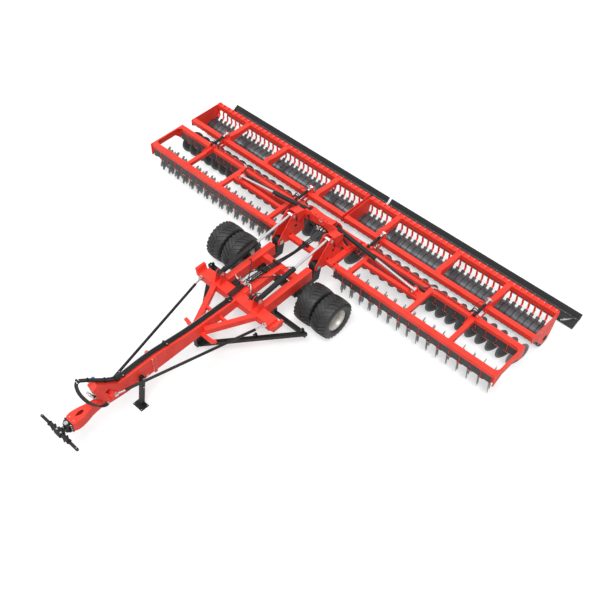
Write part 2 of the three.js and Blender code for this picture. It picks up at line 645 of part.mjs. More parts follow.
// Two beams that converge from the inner cross member on the lug of the fold cylinder.
function wingTruss() {
  const [pinX, pinY, pinZ] = FOLD_PIN;
  const top = FRAME_TOP - 10;
  const innerEnd = CROSS_MEMBERS[0] + MEMBER_W / 2 + SEAT;
  const outerEnd = CROSS_MEMBERS[1] - MEMBER_W / 2 - SEAT;
  const [width, height] = [100, 120];
  const level = top - height / 2;
  const pieces = [
    beam([innerEnd, pinY - 75, level], [outerEnd, pinY - 60, level], width, height),
    beam([innerEnd, 950, level], [outerEnd, pinY + 60, level], width, height),
    box([pinX + 20, outerEnd], [pinY - 130, pinY + 130], [top - height, top]),
  ];
  pieces.push(...lugPair("y", pinY, TRUSS_LUG_GAP, LIGHT_LUG, [
    [pinX - 150, top - 15], [outerEnd - 20, top - 15], ...arc(pinX, pinZ, 75, 20, 160)]));
  const bay = box([innerEnd, outerEnd], [FRONT_BEAM_Y + BEAM, REAR_BEAM_Y], [0, HIGH]);
  return join(pieces).intersect(bay);
}

// A row of discs on sprung arms under a beam whose front face is at beamY. Every disc of a row is
// set the same way on both wings, so these rows are not mirrored.
function discRow(places, beamY, trail, angle) {
  const discY = beamY + trail;
  const bottom = FRAME_TOP - BEAM_H - SEAT;
  const hubZ = DISC_R + DISC_LIFT;
  const railY = beamY + BEAM / 2;
  const half = DISC_RAIL / 2;
  const [first, last] = [Math.min(...places), Math.max(...places)];
  const pieces = [
    box([first - DISC_RAIL_END, last + DISC_RAIL_END], [railY - half, railY + half],
      [DISC_RAIL_BOTTOM, bottom]),
  ];
  for (const x of places) {
    const dish = new THREE.LatheGeometry([
      new THREE.Vector2(0, -DISC_DEPTH / 2), new THREE.Vector2(DISC_R, DISC_DEPTH / 2),
      new THREE.Vector2(0, DISC_THICK),
    ], ROUND);
    dish.rotateZ(-Math.PI / 2);
    dish.rotateZ(THREE.MathUtils.degToRad(angle));
    dish.translate(x, discY, hubZ);
    pieces.push(
      solid(dish),
      beam([x, railY, DISC_RAIL_BOTTOM + 40], [x, discY, hubZ], ...DISC_ARM),
    );
  }
  return join(pieces);
}

// ---------------------------------------------------------------- roller frames
const ROLLER_FRAME_TOP = FRAME_TOP - 10;
const ROLLER_PLATES = [1100, 3050, 4600];
const ROLLER_PLATE_HALF = 75;
const ROLLER_END = 16;            // thickness of the plates that carry the roller

function rollerFrame() {
  const tube = ROLLER_TUBE_Y;
  const tubeRear = tube + ROLLER_TUBE;
  const rear = ROLLER_REAR_Y;
  const top = ROLLER_FRAME_TOP;
  const inner = ROLLER_GAP;
  const outer = HALF_WIDTH - END_PLATE;
  const pieces = [
    box([inner, outer], [tube, tubeRear], [top - ROLLER_TUBE, top]),
    box([inner, outer], [rear - ROLLER_TUBE, rear], [top - ROLLER_TUBE, top]),
  ];
  const endPlate = [
    [tube - 10, top - 200], [tube + 240, top - 350], [ROLLER_Y - 120, ROLLER_R - 145],
    [ROLLER_Y + 120, ROLLER_R - 145], [ROLLER_Y + 260, ROLLER_R + 125], [rear - 81, top - 270],
    [rear, top - 130], [rear, top], [tube - 10, top],
  ];
  for (const [x0, x1] of [[inner, inner + ROLLER_END], [outer - ROLLER_END, outer]]) {
    pieces.push(plate("x", x0, x1, endPlate, [[ROLLER_Y, ROLLER_R, ROLLER_BEARING]]));
  }
  for (const x of ROLLER_PLATES) {
    pieces.push(plate("x", x - ROLLER_PLATE_HALF, x + ROLLER_PLATE_HALF, [
      [tube + 40, top - 130], [tube + 160, top - 200], [tube + 520, top - 130], [rear - 121, top - 110],
      [rear - 121, top + 20], [tube + 520, top + 20], [tube + 200, top + 60], [tube + 120, top - 20],
    ]));
  }
  for (const x of BOARD_ARMS) {
    const root = top - ROLLER_TUBE + 10;
    pieces.push(...lugPair("x", x, BOARD_LUG_GAP, BOARD_LUG, [
      [rear - 100, root], ...arc(BOARD_HINGE_Y, BOARD_HINGE_Z, BOARD_EYE, 180, 360), [rear, root],
    ]));
  }
  for (const x of DEPTH_X) {
    pieces.push(
      // arms to the pivot on the wing's rear beam
      ...lugPair("x", x, PIVOT_GAP, PIVOT_LUG, [
        [tube + LAP, ROLLER_PIVOT_Z - 10], [tube + LAP, ROLLER_PIVOT_Z + 90],
        ...arc(ROLLER_PIVOT_Y, ROLLER_PIVOT_Z, 50, 90, 270)],
      [[ROLLER_PIVOT_Y, ROLLER_PIVOT_Z, ROLLER_PIVOT_HOLE]]),
      ...lugPair("x", x, DEPTH_GAP, DEPTH_LUG, [
        [tube + 5, top - 20], [tubeRear - 5, top - 20], ...arc(DEPTH_REAR[0], DEPTH_REAR[1], 50, 0, 180)]),
    );
  }
  return join(pieces);
}

// Pivot boss of the roller frame and lugs of a depth cylinder, on the rear wing beam.
function depthBracket(x) {
  const rear = REAR_BEAM_Y + BEAM;
  const half = PIVOT_GAP / 2 - SEAT;
  return join(
    plate("x", x - half, x + half, [
      [rear - LAP, FRAME_TOP - BEAM_H + 2], [rear - LAP, FRAME_TOP - 50],
      ...arc(ROLLER_PIVOT_Y, ROLLER_PIVOT_Z, 45, 90, -90)]),
    bar([x - half - 20, ROLLER_PIVOT_Y, ROLLER_PIVOT_Z], [x + half + 20, ROLLER_PIVOT_Y, ROLLER_PIVOT_Z],
      journal(ROLLER_PIVOT_HOLE)),
    lugPair("x", x, DEPTH_GAP, DEPTH_LUG, [
      [REAR_BEAM_Y + 20, FRAME_TOP - LAP], [rear - 10, FRAME_TOP - LAP],
      ...arc(DEPTH_FRONT[0], DEPTH_FRONT[1], 45, 0, 180)]),
  );
}

function packerRoller() {
  const x0 = ROLLER_GAP + ROLLER_END + RUN;
  const x1 = HALF_WIDTH - END_PLATE - ROLLER_END - RUN;
  const shaft = journal(ROLLER_BEARING);
  const wall = 15;
  const inset = 20;
  const webThick = 12;
  const holeCircle = 150;
  const hole = 60;
  const web = (x) => plate("x", x, x + webThick, arc(ROLLER_Y, ROLLER_R, ROLLER_R - LAP, 0, 345, 23),
    [0, 90, 180, 270].map((turn) => {
      const way = THREE.MathUtils.degToRad(turn);
      return [ROLLER_Y + holeCircle * Math.cos(way), ROLLER_R + holeCircle * Math.sin(way), hole];
    }));
  return join(
    turned([
      [ROLLER_R, x0], [ROLLER_R, x1], [ROLLER_R - wall, x1], [ROLLER_R - wall, x0], [ROLLER_R, x0],
    ], ROLLER_Y, ROLLER_R, WHEEL_SIDES),
    web(x0 + inset),
    web(x1 - inset - webThick),
    bar([x0 - inset, ROLLER_Y, ROLLER_R], [x1 + inset, ROLLER_Y, ROLLER_R], shaft),
  );
}

function dragBoard() {
  const profile = [
    [510, 30], [730, 130], [830, 140], [910, 215], [950, 215], [855, 125], [740, 110], [535, 20],
  ].map(([y, z]) => [BOARD_HINGE_Y + y, z]);
  const pieces = [plate("x", ROLLER_GAP, BOARD_END_X, profile)];
  const half = BOARD_LUG_GAP / 2 - SEAT;
  for (const x of BOARD_ARMS) {
    pieces.push(
      plate("x", x - 20, x + 20, [
        ...arc(BOARD_HINGE_Y, BOARD_HINGE_Z, BOARD_EYE, 20, 200), [BOARD_HINGE_Y + 550, 40],
        [BOARD_HINGE_Y + 640, 90]]),
      bar([x - half, BOARD_HINGE_Y, BOARD_HINGE_Z], [x + half, BOARD_HINGE_Y, BOARD_HINGE_Z],
        BOARD_EYE - 10),
    );
  }
  return join(pieces);
}

for (const [name, side] of [["left", 1], ["right", -1]]) {
  const wing = new THREE.Group();
  wing.scale.x = side;
  harrow.add(wing);
  add(wing, `${name}_wing_front_beam`, wingFrontBeam(), redPaint);
  add(wing, `${name}_wing_rear_beam`, wingRearBeam(), redPaint);
  add(wing, `${name}_wing_end_plate`, wingEndPlate(), redPaint);
  add(wing, `${name}_wing_truss`, wingTruss(), redPaint);
  add(wing, `${name}_roller_frame`, rollerFrame(), redPaint);
  add(wing, `${name}_packer_roller`, packerRoller(), darkSteel);
  add(wing, `${name}_drag_board`, dragBoard(), blackPaint);
}

const wingPlaces = Array.from({ length: DISC_COUNT }, (_, i) => FIRST_DISC_X + i * DISC_PITCH);
const centrePlaces = Array.from(
  { length: CENTRE_DISCS }, (_, i) => (i - (CENTRE_DISCS - 1) / 2) * DISC_PITCH);
for (const [name, side] of [["left", 1], ["right", -1]]) {
  const places = wingPlaces.map((x) => side * x);
  const front = discRow(places, FRONT_BEAM_Y, DISC_TRAIL, DISC_ANGLE);
  const rear = discRow(places, REAR_BEAM_Y, DISC_TRAIL, -DISC_ANGLE);
  add(harrow, `${name}_front_disc_row`, front, darkSteel);
  add(harrow, `${name}_rear_disc_row`, rear, darkSteel);
}
add(harrow, "centre_disc_row", discRow(centrePlaces, REAR_BEAM_Y, CENTRE_TRAIL, -DISC_ANGLE), darkSteel);

export default harrow;
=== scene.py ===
# %% [markdown]
# # Folding disc harrow
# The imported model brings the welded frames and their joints. This script dresses it: discs on
# their rubber-sprung arms, ringed packer rollers, treaded tyres, cylinders, hoses, pins and
# bolts, with a procedural finish for every surface. Sizes are in metres. Y is counted from
# the front edge of the wings' end plates, and one shift puts every piece in the model's frame.

# %% Load the frame
import math

import bmesh
import bpy
import numpy as np
from mathutils import Matrix, Vector


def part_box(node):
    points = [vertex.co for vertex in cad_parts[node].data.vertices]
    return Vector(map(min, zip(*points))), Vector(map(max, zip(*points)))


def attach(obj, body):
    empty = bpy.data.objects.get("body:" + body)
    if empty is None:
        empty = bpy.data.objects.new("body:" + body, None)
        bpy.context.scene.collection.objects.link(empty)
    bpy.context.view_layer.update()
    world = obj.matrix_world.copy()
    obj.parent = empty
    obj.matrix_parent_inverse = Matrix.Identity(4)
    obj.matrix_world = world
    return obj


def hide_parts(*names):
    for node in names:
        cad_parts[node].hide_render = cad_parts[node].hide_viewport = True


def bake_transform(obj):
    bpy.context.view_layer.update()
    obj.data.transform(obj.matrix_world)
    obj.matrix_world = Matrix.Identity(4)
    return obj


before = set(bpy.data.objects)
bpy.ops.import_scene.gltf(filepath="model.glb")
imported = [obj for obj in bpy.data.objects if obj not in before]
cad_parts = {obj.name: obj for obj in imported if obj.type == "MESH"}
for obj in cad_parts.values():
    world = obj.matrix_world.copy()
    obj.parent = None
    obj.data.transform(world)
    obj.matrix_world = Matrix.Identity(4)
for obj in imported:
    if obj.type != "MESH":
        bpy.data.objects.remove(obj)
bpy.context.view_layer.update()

ORIGIN_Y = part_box("left_wing_end_plate")[0].y

# %% [markdown]
# ## Camera
# A long implement is shown best from high at the front left, where both wings and the drawbar
# read at once. A moderately long lens keeps the near hitch from swelling against the wings.

# %% Camera
AZIMUTH = math.radians(43.52)
ELEVATION = math.radians(48.95)
CAMERA_DISTANCE = 22.726
LOOK_AT = Vector((0.923, ORIGIN_Y - 1.07, 0.5))

camera_data = bpy.data.cameras.new("camera")
camera_data.lens = 54.5
camera_data.sensor_width = 36
camera_data.clip_end = 500
camera = bpy.data.objects.new("camera", camera_data)
bpy.context.collection.objects.link(camera)
back = Vector((
    math.sin(AZIMUTH) * math.cos(ELEVATION),
    -math.cos(AZIMUTH) * math.cos(ELEVATION),
    math.sin(ELEVATION),
))
camera.location = LOOK_AT + back * CAMERA_DISTANCE
camera.rotation_mode = "QUATERNION"
camera.rotation_quaternion = (-back).to_track_quat("-Z", "Y")
bpy.context.scene.camera = camera
print("camera at", [round(v, 2) for v in camera.location])

# %% [markdown]
# ## Forms
# A harrow is some hundreds of small like parts, so each part is made once as a light list of points and
# faces, copied by arithmetic and joined into one mesh per finish. That is far quicker than thousands of
# scene objects, and every copy stays real geometry. Each point also carries a number, 0 in a recess and 1
# on an edge that soil or use polishes; on the packer drum's rings a 1 marks painted shade instead.

# %% A form is points, faces and wear
class Form:
    def __init__(self, points, faces, wear_and_shade=None):
        self.points = np.array(points, float).reshape(-1, 3)
        self.faces = [tuple(face) for face in faces]
        self.wear_and_shade = np.zeros(len(self.points)) if wear_and_shade is None else np.array(wear_and_shade, float)

    def placed(self, matrix):
        m = np.array(matrix)
        points = self.points @ m[:3, :3].T + m[:3, 3]
        flip = np.linalg.det(m[:3, :3]) < 0
        faces = [face[::-1] for face in self.faces] if flip else self.faces
        return Form(points, faces, self.wear_and_shade)

    def moved(self, x=0.0, y=0.0, z=0.0):
        return Form(self.points + np.array((x, y, z)), self.faces, self.wear_and_shade)

    def mirrored(self):
        return self.placed(Matrix.Scale(-1, 4, (1, 0, 0)))

    def aimed(self, start, direction):
        turn = Vector((1, 0, 0)).rotation_difference(Vector(direction)).to_matrix().to_4x4()
        return self.placed(Matrix.Translation(Vector(start)) @ turn)


def joined(forms):
    points, faces, wear_and_shade, count = [], [], [], 0
    for form in forms:
        points.append(form.points)
        wear_and_shade.append(form.wear_and_shade)
        faces.extend(tuple(i + count for i in face) for face in form.faces)
        count += len(form.points)
    return Form(np.concatenate(points), faces, np.concatenate(wear_and_shade))


def from_bmesh(mesh):
    mesh.verts.index_update()
    form = Form([v.co[:] for v in mesh.verts], [[v.index for v in f.verts] for f in mesh.faces])
    mesh.free()
    return form


# %% [markdown]
# Most parts are cut plate and rolled bar, so a block and an extruded outline make nearly all of
# them. Both get a small bevel, because no real edge is a knife edge and the bevel catches light.

# %% Blocks and plates with softened edges
SHARP = math.radians(35)


def softened(mesh, edge):
    bmesh.ops.recalc_face_normals(mesh, faces=mesh.faces)
    if edge:
        sharp = [e for e in mesh.edges if e.is_manifold and e.calc_face_angle() > SHARP]
        bmesh.ops.bevel(mesh, geom=sharp, offset=edge, segments=1, profile=0.5,
                        affect="EDGES", clamp_overlap=True)
    return from_bmesh(mesh)


def block(low, high, edge):
    """A box between two corners, with its edges softened by edge."""
    mesh = bmesh.new()
    bmesh.ops.create_cube(mesh, size=1)
    for vert in mesh.verts:
        vert.co = [low[i] + (vert.co[i] + 0.5) * (high[i] - low[i]) for i in range(3)]
    return softened(mesh, edge)


PLANES = {"x": (1, 2, 0), "y": (0, 2, 1), "z": (0, 1, 2)}


def slab(axis, start, end, outline, edge, holes=()):
    """A plate pushed along an axis; an outline point is (y, z), (x, z) or (x, y)."""
    u, v, w = PLANES[axis]
    mesh = bmesh.new()
    edges = []
    for loop in [outline, *holes]:
        ring = []
        for a, b in loop:
            point = [0.0, 0.0, 0.0]
            point[u], point[v], point[w] = a, b, start
            ring.append(mesh.verts.new(point))
        edges += [mesh.edges.new((ring[i - 1], ring[i])) for i in range(len(ring))]
    if holes:
        bmesh.ops.triangle_fill(mesh, use_beauty=True, edges=edges)
    else:
        mesh.faces.new(ring)
    grown = bmesh.ops.extrude_face_region(mesh, geom=mesh.faces[:])
    shift = [0.0, 0.0, 0.0]
    shift[w] = end - start
    for item in grown["geom"]:
        if isinstance(item, bmesh.types.BMVert):
            item.co += Vector(shift)
    return softened(mesh, edge)


def circle(u, v, radius, steps=16, start=0.0, end=360.0):
    full = end - start >= 360
    count = steps if full else steps + 1
    turns = [math.radians(start + (end - start) * i / steps) for i in range(count)]
    return [(u + radius * math.cos(t), v + radius * math.sin(t)) for t in turns]


# %% [markdown]
# Round parts are turned: a profile of radii goes once about an axis. Pipes, hoses and bent flat
# bars are swept: a section is carried along a curve that passes through a few chosen points.

# %% Turned parts
def turned(profile, sides=24, centre=(0.0, 0.0, 0.0), wear_and_shade=None):
    """A form turned about a line along X; a profile point is (radius, x)."""
    points, marks, rings = [], [], []
    closed = profile[0] == profile[-1]
    rows = profile[:-1] if closed else profile
    for k, (radius, x) in enumerate(rows):
        mark = 0.0 if wear_and_shade is None else wear_and_shade[k]
        count = 1 if radius < 1e-6 else sides
        rings.append([len(points) + i for i in range(count)])
        for i in range(count):
            turn = 2 * math.pi * i / sides
            points.append((centre[0] + x, centre[1] + radius * math.cos(turn),
                           centre[2] + radius * math.sin(turn)))
            marks.append(mark)
    faces = []
    pairs = list(zip(rings, rings[1:])) + ([(rings[-1], rings[0])] if closed else [])
    for a, b in pairs:
        for i in range(sides):
            j = (i + 1) % sides
            quad = [a[i % len(a)], a[j % len(a)], b[j % len(b)], b[i % len(b)]]
            face = list(dict.fromkeys(quad))
            if len(face) > 2:
                faces.append(face[::-1])
    return Form(points, faces, marks)


def rounded(length, radius, edge, start=0.0):
    """A profile for a round bar with chamfered ends."""
    end = start + length
    return [(0, start), (radius - edge, start), (radius, start + edge), (radius, end - edge),
            (radius - edge, end), (0, end)]


def bar(at, way, length, radius, edge=0.003, sides=6, start=0.0):
    """A chamfered round or six-sided bar that leaves a point in one direction."""
    return turned(rounded(length, radius, edge, start), sides).aimed(at, way)


# %% [markdown]
# A smooth curve through a few points is enough for a hose, a rigid pipe or a bent flat bar. What
# is carried along it keeps its own section, round or flat.

# %% Pipes and bent bars
def smooth_path(points, steps=8):
    """Points along an even curve through the given ones."""
    known = [Vector(p) for p in points]
    ends = [known[0] * 2 - known[1]] + known + [known[-1] * 2 - known[-2]]
    path = []
    for i in range(1, len(ends) - 2):
        p0, p1, p2, p3 = ends[i - 1:i + 3]
        for k in range(steps):
            t = k / steps
            path.append(0.5 * (2 * p1 + (p2 - p0) * t + (2 * p0 - 5 * p1 + 4 * p2 - p3) * t * t
                               + (3 * p1 - p0 - 3 * p2 + p3) * t ** 3))
    return path + [known[-1]]


def facing_out(form):
    """The same form, with every face turned to look outwards."""
    mesh = bmesh.new()
    verts = [mesh.verts.new(p) for p in form.points]
    for face in form.faces:
        mesh.faces.new([verts[i] for i in face])
    bmesh.ops.recalc_face_normals(mesh, faces=mesh.faces)
    mesh.verts.index_update()
    form.faces = [tuple(v.index for v in f.verts) for f in mesh.faces]
    mesh.free()
    return form


def sweep(path, section, level=None):
    """A section of (side, up) points carried along a path; level keeps its side direction fixed."""
    path = [Vector(p) for p in path]
    points, faces = [], []
    side = None
    for i, point in enumerate(path):
        ahead = (path[min(i + 1, len(path) - 1)] - path[max(i - 1, 0)]).normalized()
        if level is not None:
            side = Vector(level)
        elif side is None:
            side = ahead.cross(Vector((0, 0, 1)) if abs(ahead.z) < 0.9 else Vector((1, 0, 0)))
        side = (side - ahead * side.dot(ahead)).normalized()
        up = side.cross(ahead)
        points += [point + side * a + up * b for a, b in section]
    count = len(section)
    for i in range(len(path) - 1):
        for k in range(count):
            a, b = i * count + k, i * count + (k + 1) % count
            faces.append((a, b, b + count, a + count))
    faces.append(tuple(range(count))[::-1])
    faces.append(tuple(range(len(points) - count, len(points))))
    return facing_out(Form([p[:] for p in points], faces))


def pipe(points, radius, sides=10, steps=8):
    return sweep(smooth_path(points, steps), circle(0, 0, radius, sides))


def strip(points, width, thick, level=(1, 0, 0), steps=6):
    """A flat bar bent along a curve."""
    half, rise = width / 2, thick / 2
    section = [(-half, -rise), (half, -rise), (half, rise), (-half, rise)]
    return sweep(smooth_path(points, steps), section, level)


# %% [markdown]
# Farm machines are held together by hexagon bolts and by pins that can be drawn. Their heads are
# what shows, so a bolt is its head on a washer and a pin is a bar with a wider head at each end.

# %% Fasteners
def bolt(start, direction, across, height, washer=True):
    """A hexagon head on its washer, standing on a surface."""
    radius = across / 2 / math.cos(math.pi / 6)
    parts = [turned([(0, height), (radius * 0.86, height), (radius, height * 0.82), (radius, 0),
                     (0, 0)], 6)]
    if washer:
        rim = radius * 1.25
        parts.append(turned([(0, 0.004), (rim, 0.004), (rim, -0.002), (0, -0.002)], 14))
    return joined(parts).aimed(start, direction)


def pin(start, end, radius, head):
    """A plain pin with a wider head at each end."""
    start, end = Vector(start), Vector(end)
    length = (end - start).length
    cap = min(0.012, length / 6)
    profile = [
        (0, 0), (head - 0.003, 0), (head, 0.003), (head, cap), (radius, cap), (radius, length - cap),
        (head, length - cap), (head, length - 0.003), (head - 0.003, length), (0, length)]
    return turned(profile, 18).aimed(start, end - start)


def pin_across(at, half, radius, head):
    """A pin along X with its middle at a point."""
    x, y, z = at
    return pin((x - half, y, z), (x + half, y, z), radius, head)


def screwed_pin(at, half, radius, head, across, height):
    """A pin along X that a cap screw holds at each end."""
    x, y, z = at
    return [pin_across(at, half, radius, head), *[
        bolt((x + way * half, y, z), (way, 0, 0), across, height, washer=False) for way in (-1, 1)]]


# %% [markdown]
# ## Finishes
# Every finish starts from what the real surface is. Welded steel on farm machines is shot
# blasted and powder coated, which leaves a satin skin with a faint orange peel; soil-working
# steel is hardened, dark from the furnace, and polished bright where soil runs. Patterns are
# set by real sizes in millimetres. At this scale the finest are drawn coarser than life, so
# that they still show as an even grain.

# %% Colours and the node helper
def linear(text):
    """A colour written as six hexadecimal digits, as the shader wants it."""
    values = [int(text[i:i + 2], 16) / 255 for i in (0, 2, 4)]
    parts = [v / 12.92 if v <= 0.04045 else ((v + 0.055) / 1.055) ** 2.4 for v in values]
    return (*parts, 1.0)


def add_node(tree, kind, inputs=None, **settings):
    made = tree.nodes.new(kind)
    for key, value in settings.items():
        setattr(made, key, value)
    for name, value in (inputs or {}).items():
        if isinstance(value, bpy.types.NodeSocket):
            tree.links.new(value, made.inputs[name])
        else:
            made.inputs[name].default_value = value
    return made


def per_metre(size_mm):
    return 1000.0 / size_mm


def ramp(tree, value, low, high):
    """0 below low, 1 above high."""
    made = add_node(tree, "ShaderNodeMapRange", {
        "Value": value, "From Min": low, "From Max": high}, interpolation_type="SMOOTHSTEP")
    return made.outputs["Result"]


def mixed(tree, factor, first, second):
    """The first colour at factor 0, the second at 1."""
    made = add_node(tree, "ShaderNodeMix", data_type="RGBA")
    for socket, value in ((made.inputs[0], factor), (made.inputs[6], first), (made.inputs[7], second)):
        if isinstance(value, bpy.types.NodeSocket):
            tree.links.new(value, socket)
        else:
            socket.default_value = value
    return made.outputs[2]


def grain(tree, size_mm, detail, rough=0.55):
    """Noise whose main features are about size_mm across."""
    place = add_node(tree, "ShaderNodeTexCoord").outputs["Object"]
    made = add_node(tree, "ShaderNodeTexNoise", {
        "Vector": place, "Scale": per_metre(size_mm), "Detail": detail, "Roughness": rough})
    return made.outputs["Fac"]


# %% [markdown]
# One recipe serves all the coated and bare metals: a base colour with a broad tone change, a second colour
# that shows where the wear number is high or where sparse chips fall, a fine bump, and a roughness that
# follows the tone. Only the numbers differ. On the packer drum the second colour is dark and is painted
# shade on the rings.

# %% The finish recipe
FINISHES = {}


def finish(name, base, shade, wear_and_shade_colour, roughness, metallic=0.0, tone_mm=260, bump_mm=6,
           bump=0.02, wear_and_shade_from=0.35, wear_and_shade_to=0.95, chips=0.68, chip_mm=34, spread=0.1,
           specular=0.5):
    material = bpy.data.materials.new(name)
    material.use_nodes = True
    tree = material.node_tree
    shader = tree.nodes["Principled BSDF"]
    tone = grain(tree, tone_mm, 4.0)
    fine = grain(tree, bump_mm, 2.0)
    colour = mixed(tree, ramp(tree, tone, 0.35, 0.7), linear(base), linear(shade))
    marks = grain(tree, chip_mm, 5.0, 0.65)
    wear_and_shade = add_node(tree, "ShaderNodeAttribute", attribute_name="wear_and_shade").outputs["Fac"]
    uneven = add_node(tree, "ShaderNodeMath", {0: marks, 1: 0.7, 2: 0.6},
                      operation="MULTIPLY_ADD").outputs[0]
    rub_and_shade = add_node(tree, "ShaderNodeMath", {0: wear_and_shade, 1: uneven}, operation="MULTIPLY").outputs[0]
    bare_and_shaded = ramp(tree, rub_and_shade, wear_and_shade_from, wear_and_shade_to)
    chipped = ramp(tree, marks, chips, chips + 0.03)
    most = add_node(tree, "ShaderNodeMath", {0: bare_and_shaded, 1: chipped}, operation="MAXIMUM").outputs[0]
    # Where the number is high this second colour shows: real wear on most finishes, painted shade on the
    # packer drum's rings.
    colour = mixed(tree, most, colour, linear(wear_and_shade_colour))
    tree.links.new(colour, shader.inputs["Base Color"])
    rough = add_node(tree, "ShaderNodeMapRange", {
        "Value": tone, "From Min": 0.3, "From Max": 0.7, "To Min": roughness - spread / 2,
        "To Max": roughness + spread / 2})
    tree.links.new(rough.outputs["Result"], shader.inputs["Roughness"])
    raised = add_node(tree, "ShaderNodeBump", {
        "Strength": 0.35, "Distance": bump * 0.01, "Height": fine})
    tree.links.new(raised.outputs["Normal"], shader.inputs["Normal"])
    shader.inputs["Metallic"].default_value = metallic
    shader.inputs["Specular IOR Level"].default_value = specular
    FINISHES[name] = material


# %% [markdown]
# Powder-coated red: a dielectric skin, so no metallic part, with mid gloss. Its chips show the
# grey blasted steel. Black parts have the same coating in satin black.

# %% Coated steels
finish("red_powder_coat", "FB4536", "F23D2F", "9A3126", 0.5, tone_mm=420, bump_mm=5,
       chips=0.80, specular=0.35)
finish("black_satin_coat", "1C1D1E", "161717", "3E3C39", 0.48, tone_mm=300, bump_mm=5,
       chips=0.76, specular=0.3)
finish("grey_clamp_coat", "333536", "2B2D2E", "505050", 0.5, tone_mm=180, bump_mm=6,
       chips=0.74, specular=0.4)
finish("silver_rim_coat", "DCD8D2", "CBC6BF", "8B8782", 0.36, metallic=0.25,
       tone_mm=120, chips=0.80)

# %% [markdown]
# Hardened disc steel is blue-grey and half metallic under its oxide, and bright at the cutting edge. The
# packer's drum uses the same recipe, with its rings painted dark as shade on a lighter drum.

# %% Bare and plated steels
finish("hardened_disc_steel", "6E7274", "5A5E60", "A9ACAC", 0.42, metallic=0.45,
       tone_mm=60, bump_mm=8, wear_and_shade_from=0.45, wear_and_shade_to=1.05, chips=0.74, chip_mm=22)
# The rear row's copy of the disc steel, darker by painted shade under the frame; the scraper blades take
# it too.
finish("shaded_disc_steel", "4C4F51", "3E4143", "7C7E7E", 0.42, metallic=0.45, tone_mm=70,
       bump_mm=8, wear_and_shade_from=0.55, wear_and_shade_to=1.15, chips=0.76, chip_mm=22)
finish("forged_arm_steel", "232425", "1B1C1D", "4B4844", 0.55, metallic=0.2,
       tone_mm=90, bump_mm=9)
# Its third colour is painted shade: it turns the ring crests dark, where their number is 1.
finish("packer_drum_steel", "5A5D60", "4B4E51", "232527", 0.34, metallic=0.45,
       tone_mm=140, bump_mm=8, wear_and_shade_from=0.4, wear_and_shade_to=0.9, chips=0.82)
finish("zinc_plated_steel", "C9CCCB", "B4B8B8", "8F9291", 0.3, metallic=0.85,
       tone_mm=30, bump_mm=4)
finish("ground_chrome", "DDE0E1", "D2D6D7", "C2C5C6", 0.12, metallic=1.0, tone_mm=60,
       bump_mm=3, chips=0.9, spread=0.04)
finish("galvanised_strip", "484A4B", "3E4041", "6B6D6D", 0.42, metallic=0.5,
       tone_mm=50, bump_mm=5)

# %% [markdown]
# Rubber is dark, rough and slightly grey where dust lies; hoses are smoother, with the wrapped
# cover showing as a fine cross grain. The one bright plastic part is a blue protective cap.

# %% Rubbers and plastic
finish("tyre_rubber", "1C1C1D", "242425", "303030", 0.5, tone_mm=90, bump_mm=5,
       bump=0.05, wear_and_shade_from=0.5, wear_and_shade_to=1.2, chips=0.82)
finish("hydraulic_hose_rubber", "151617", "101011", "2E2E2E", 0.45, tone_mm=40,
       bump_mm=3, chips=0.82)
finish("clamp_rubber", "161616", "1D1D1D", "2C2C2C", 0.7, tone_mm=30, bump_mm=4)
finish("blue_cap_plastic", "1E7BEB", "1B6FD6", "4A90E8", 0.35, tone_mm=30, bump_mm=3,
       chips=0.9)
# Near-black paint for holes: thin discs coloured as the shade inside them.
finish("dark_opening", "0B0B0B", "0E0E0E", "151515", 0.8, tone_mm=30, bump_mm=4,
       chips=0.9)
print(len(FINISHES), "finishes")

# %% [markdown]
# ## Pieces
# A kit gathers forms by finish for one moving body. Building it makes one mesh for each finish, rides it
# on the body and gives it that finish's material. The first mesh can stand for CAD nodes whose plain shape
# it replaces.

totals = {"pieces": 0, "triangles": 0}


class Kit:
    """Forms of one body, by finish. A kit without a body is attached to none."""

    def __init__(self, name, body):
        self.name, self.body, self.forms = name, body, {}

    def add(self, finish_name, *forms):
        self.forms.setdefault(finish_name, []).extend(forms)

    def build(self, *stands_for):
        made = []
        for finish_name, forms in self.forms.items():
            form = joined(forms)
            mesh = bpy.data.meshes.new(f"{self.name}_{finish_name}")
            points = form.points + np.array((0.0, ORIGIN_Y, 0.0))
            mesh.from_pydata(points.tolist(), [], form.faces)
            mesh.shade_smooth()
            mesh.set_sharp_from_angle(angle=math.radians(38))
            mesh.attributes.new("wear_and_shade", "FLOAT", "POINT").data.foreach_set("value", form.wear_and_shade)
            mesh.materials.append(FINISHES[finish_name])
            piece = bpy.data.objects.new(mesh.name, mesh)
            bpy.context.collection.objects.link(piece)
            if self.body:
                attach(piece, self.body)
            made.append(piece)
            totals["pieces"] += 1
            totals["triangles"] += sum(len(face) - 2 for face in form.faces)
        if stands_for:
            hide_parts(*stands_for)
        return made


def add_all(kit, forms, sign=1):
    """Forms made for the left side, mirrored where sign is -1."""
    for finish_name, items in forms.items():
        kit.add(finish_name, *[item if sign > 0 else item.mirrored() for item in items])


SIDES = (("left", 1), ("right", -1))

# %% [markdown]
# ## Hoses that hang free
# Three hydraulic hoses run from the top of the hose arm to the head of the drawbar. They hang in one slack
# loop, so that the hitch can turn without pulling them. Each is a round tube swept along the loop.

# %% Hose loop
HOSE_LOOP = [
    (0.0, -6.955, 2.03), (0.002, -7.005, 1.9), (0.014, -7.01, 1.7), (0.036, -6.975, 1.5),
    (0.068, -6.915, 1.31), (0.1, -6.835, 1.16), (0.126, -6.745, 1.04), (0.144, -6.65, 0.965),
    (0.155, -6.56, 0.942), (0.16, -6.48, 0.955)]
HOSE_RADIUS = 0.0165
HOSE_PITCH = 0.034       # from hose to hose, side by side
HOSE_ASIDE = 0.034       # all three move over by this, to pass beside the turnbuckle
HOSE_SPREAD = 0.030      # from hose to hose, in the depth of the loop

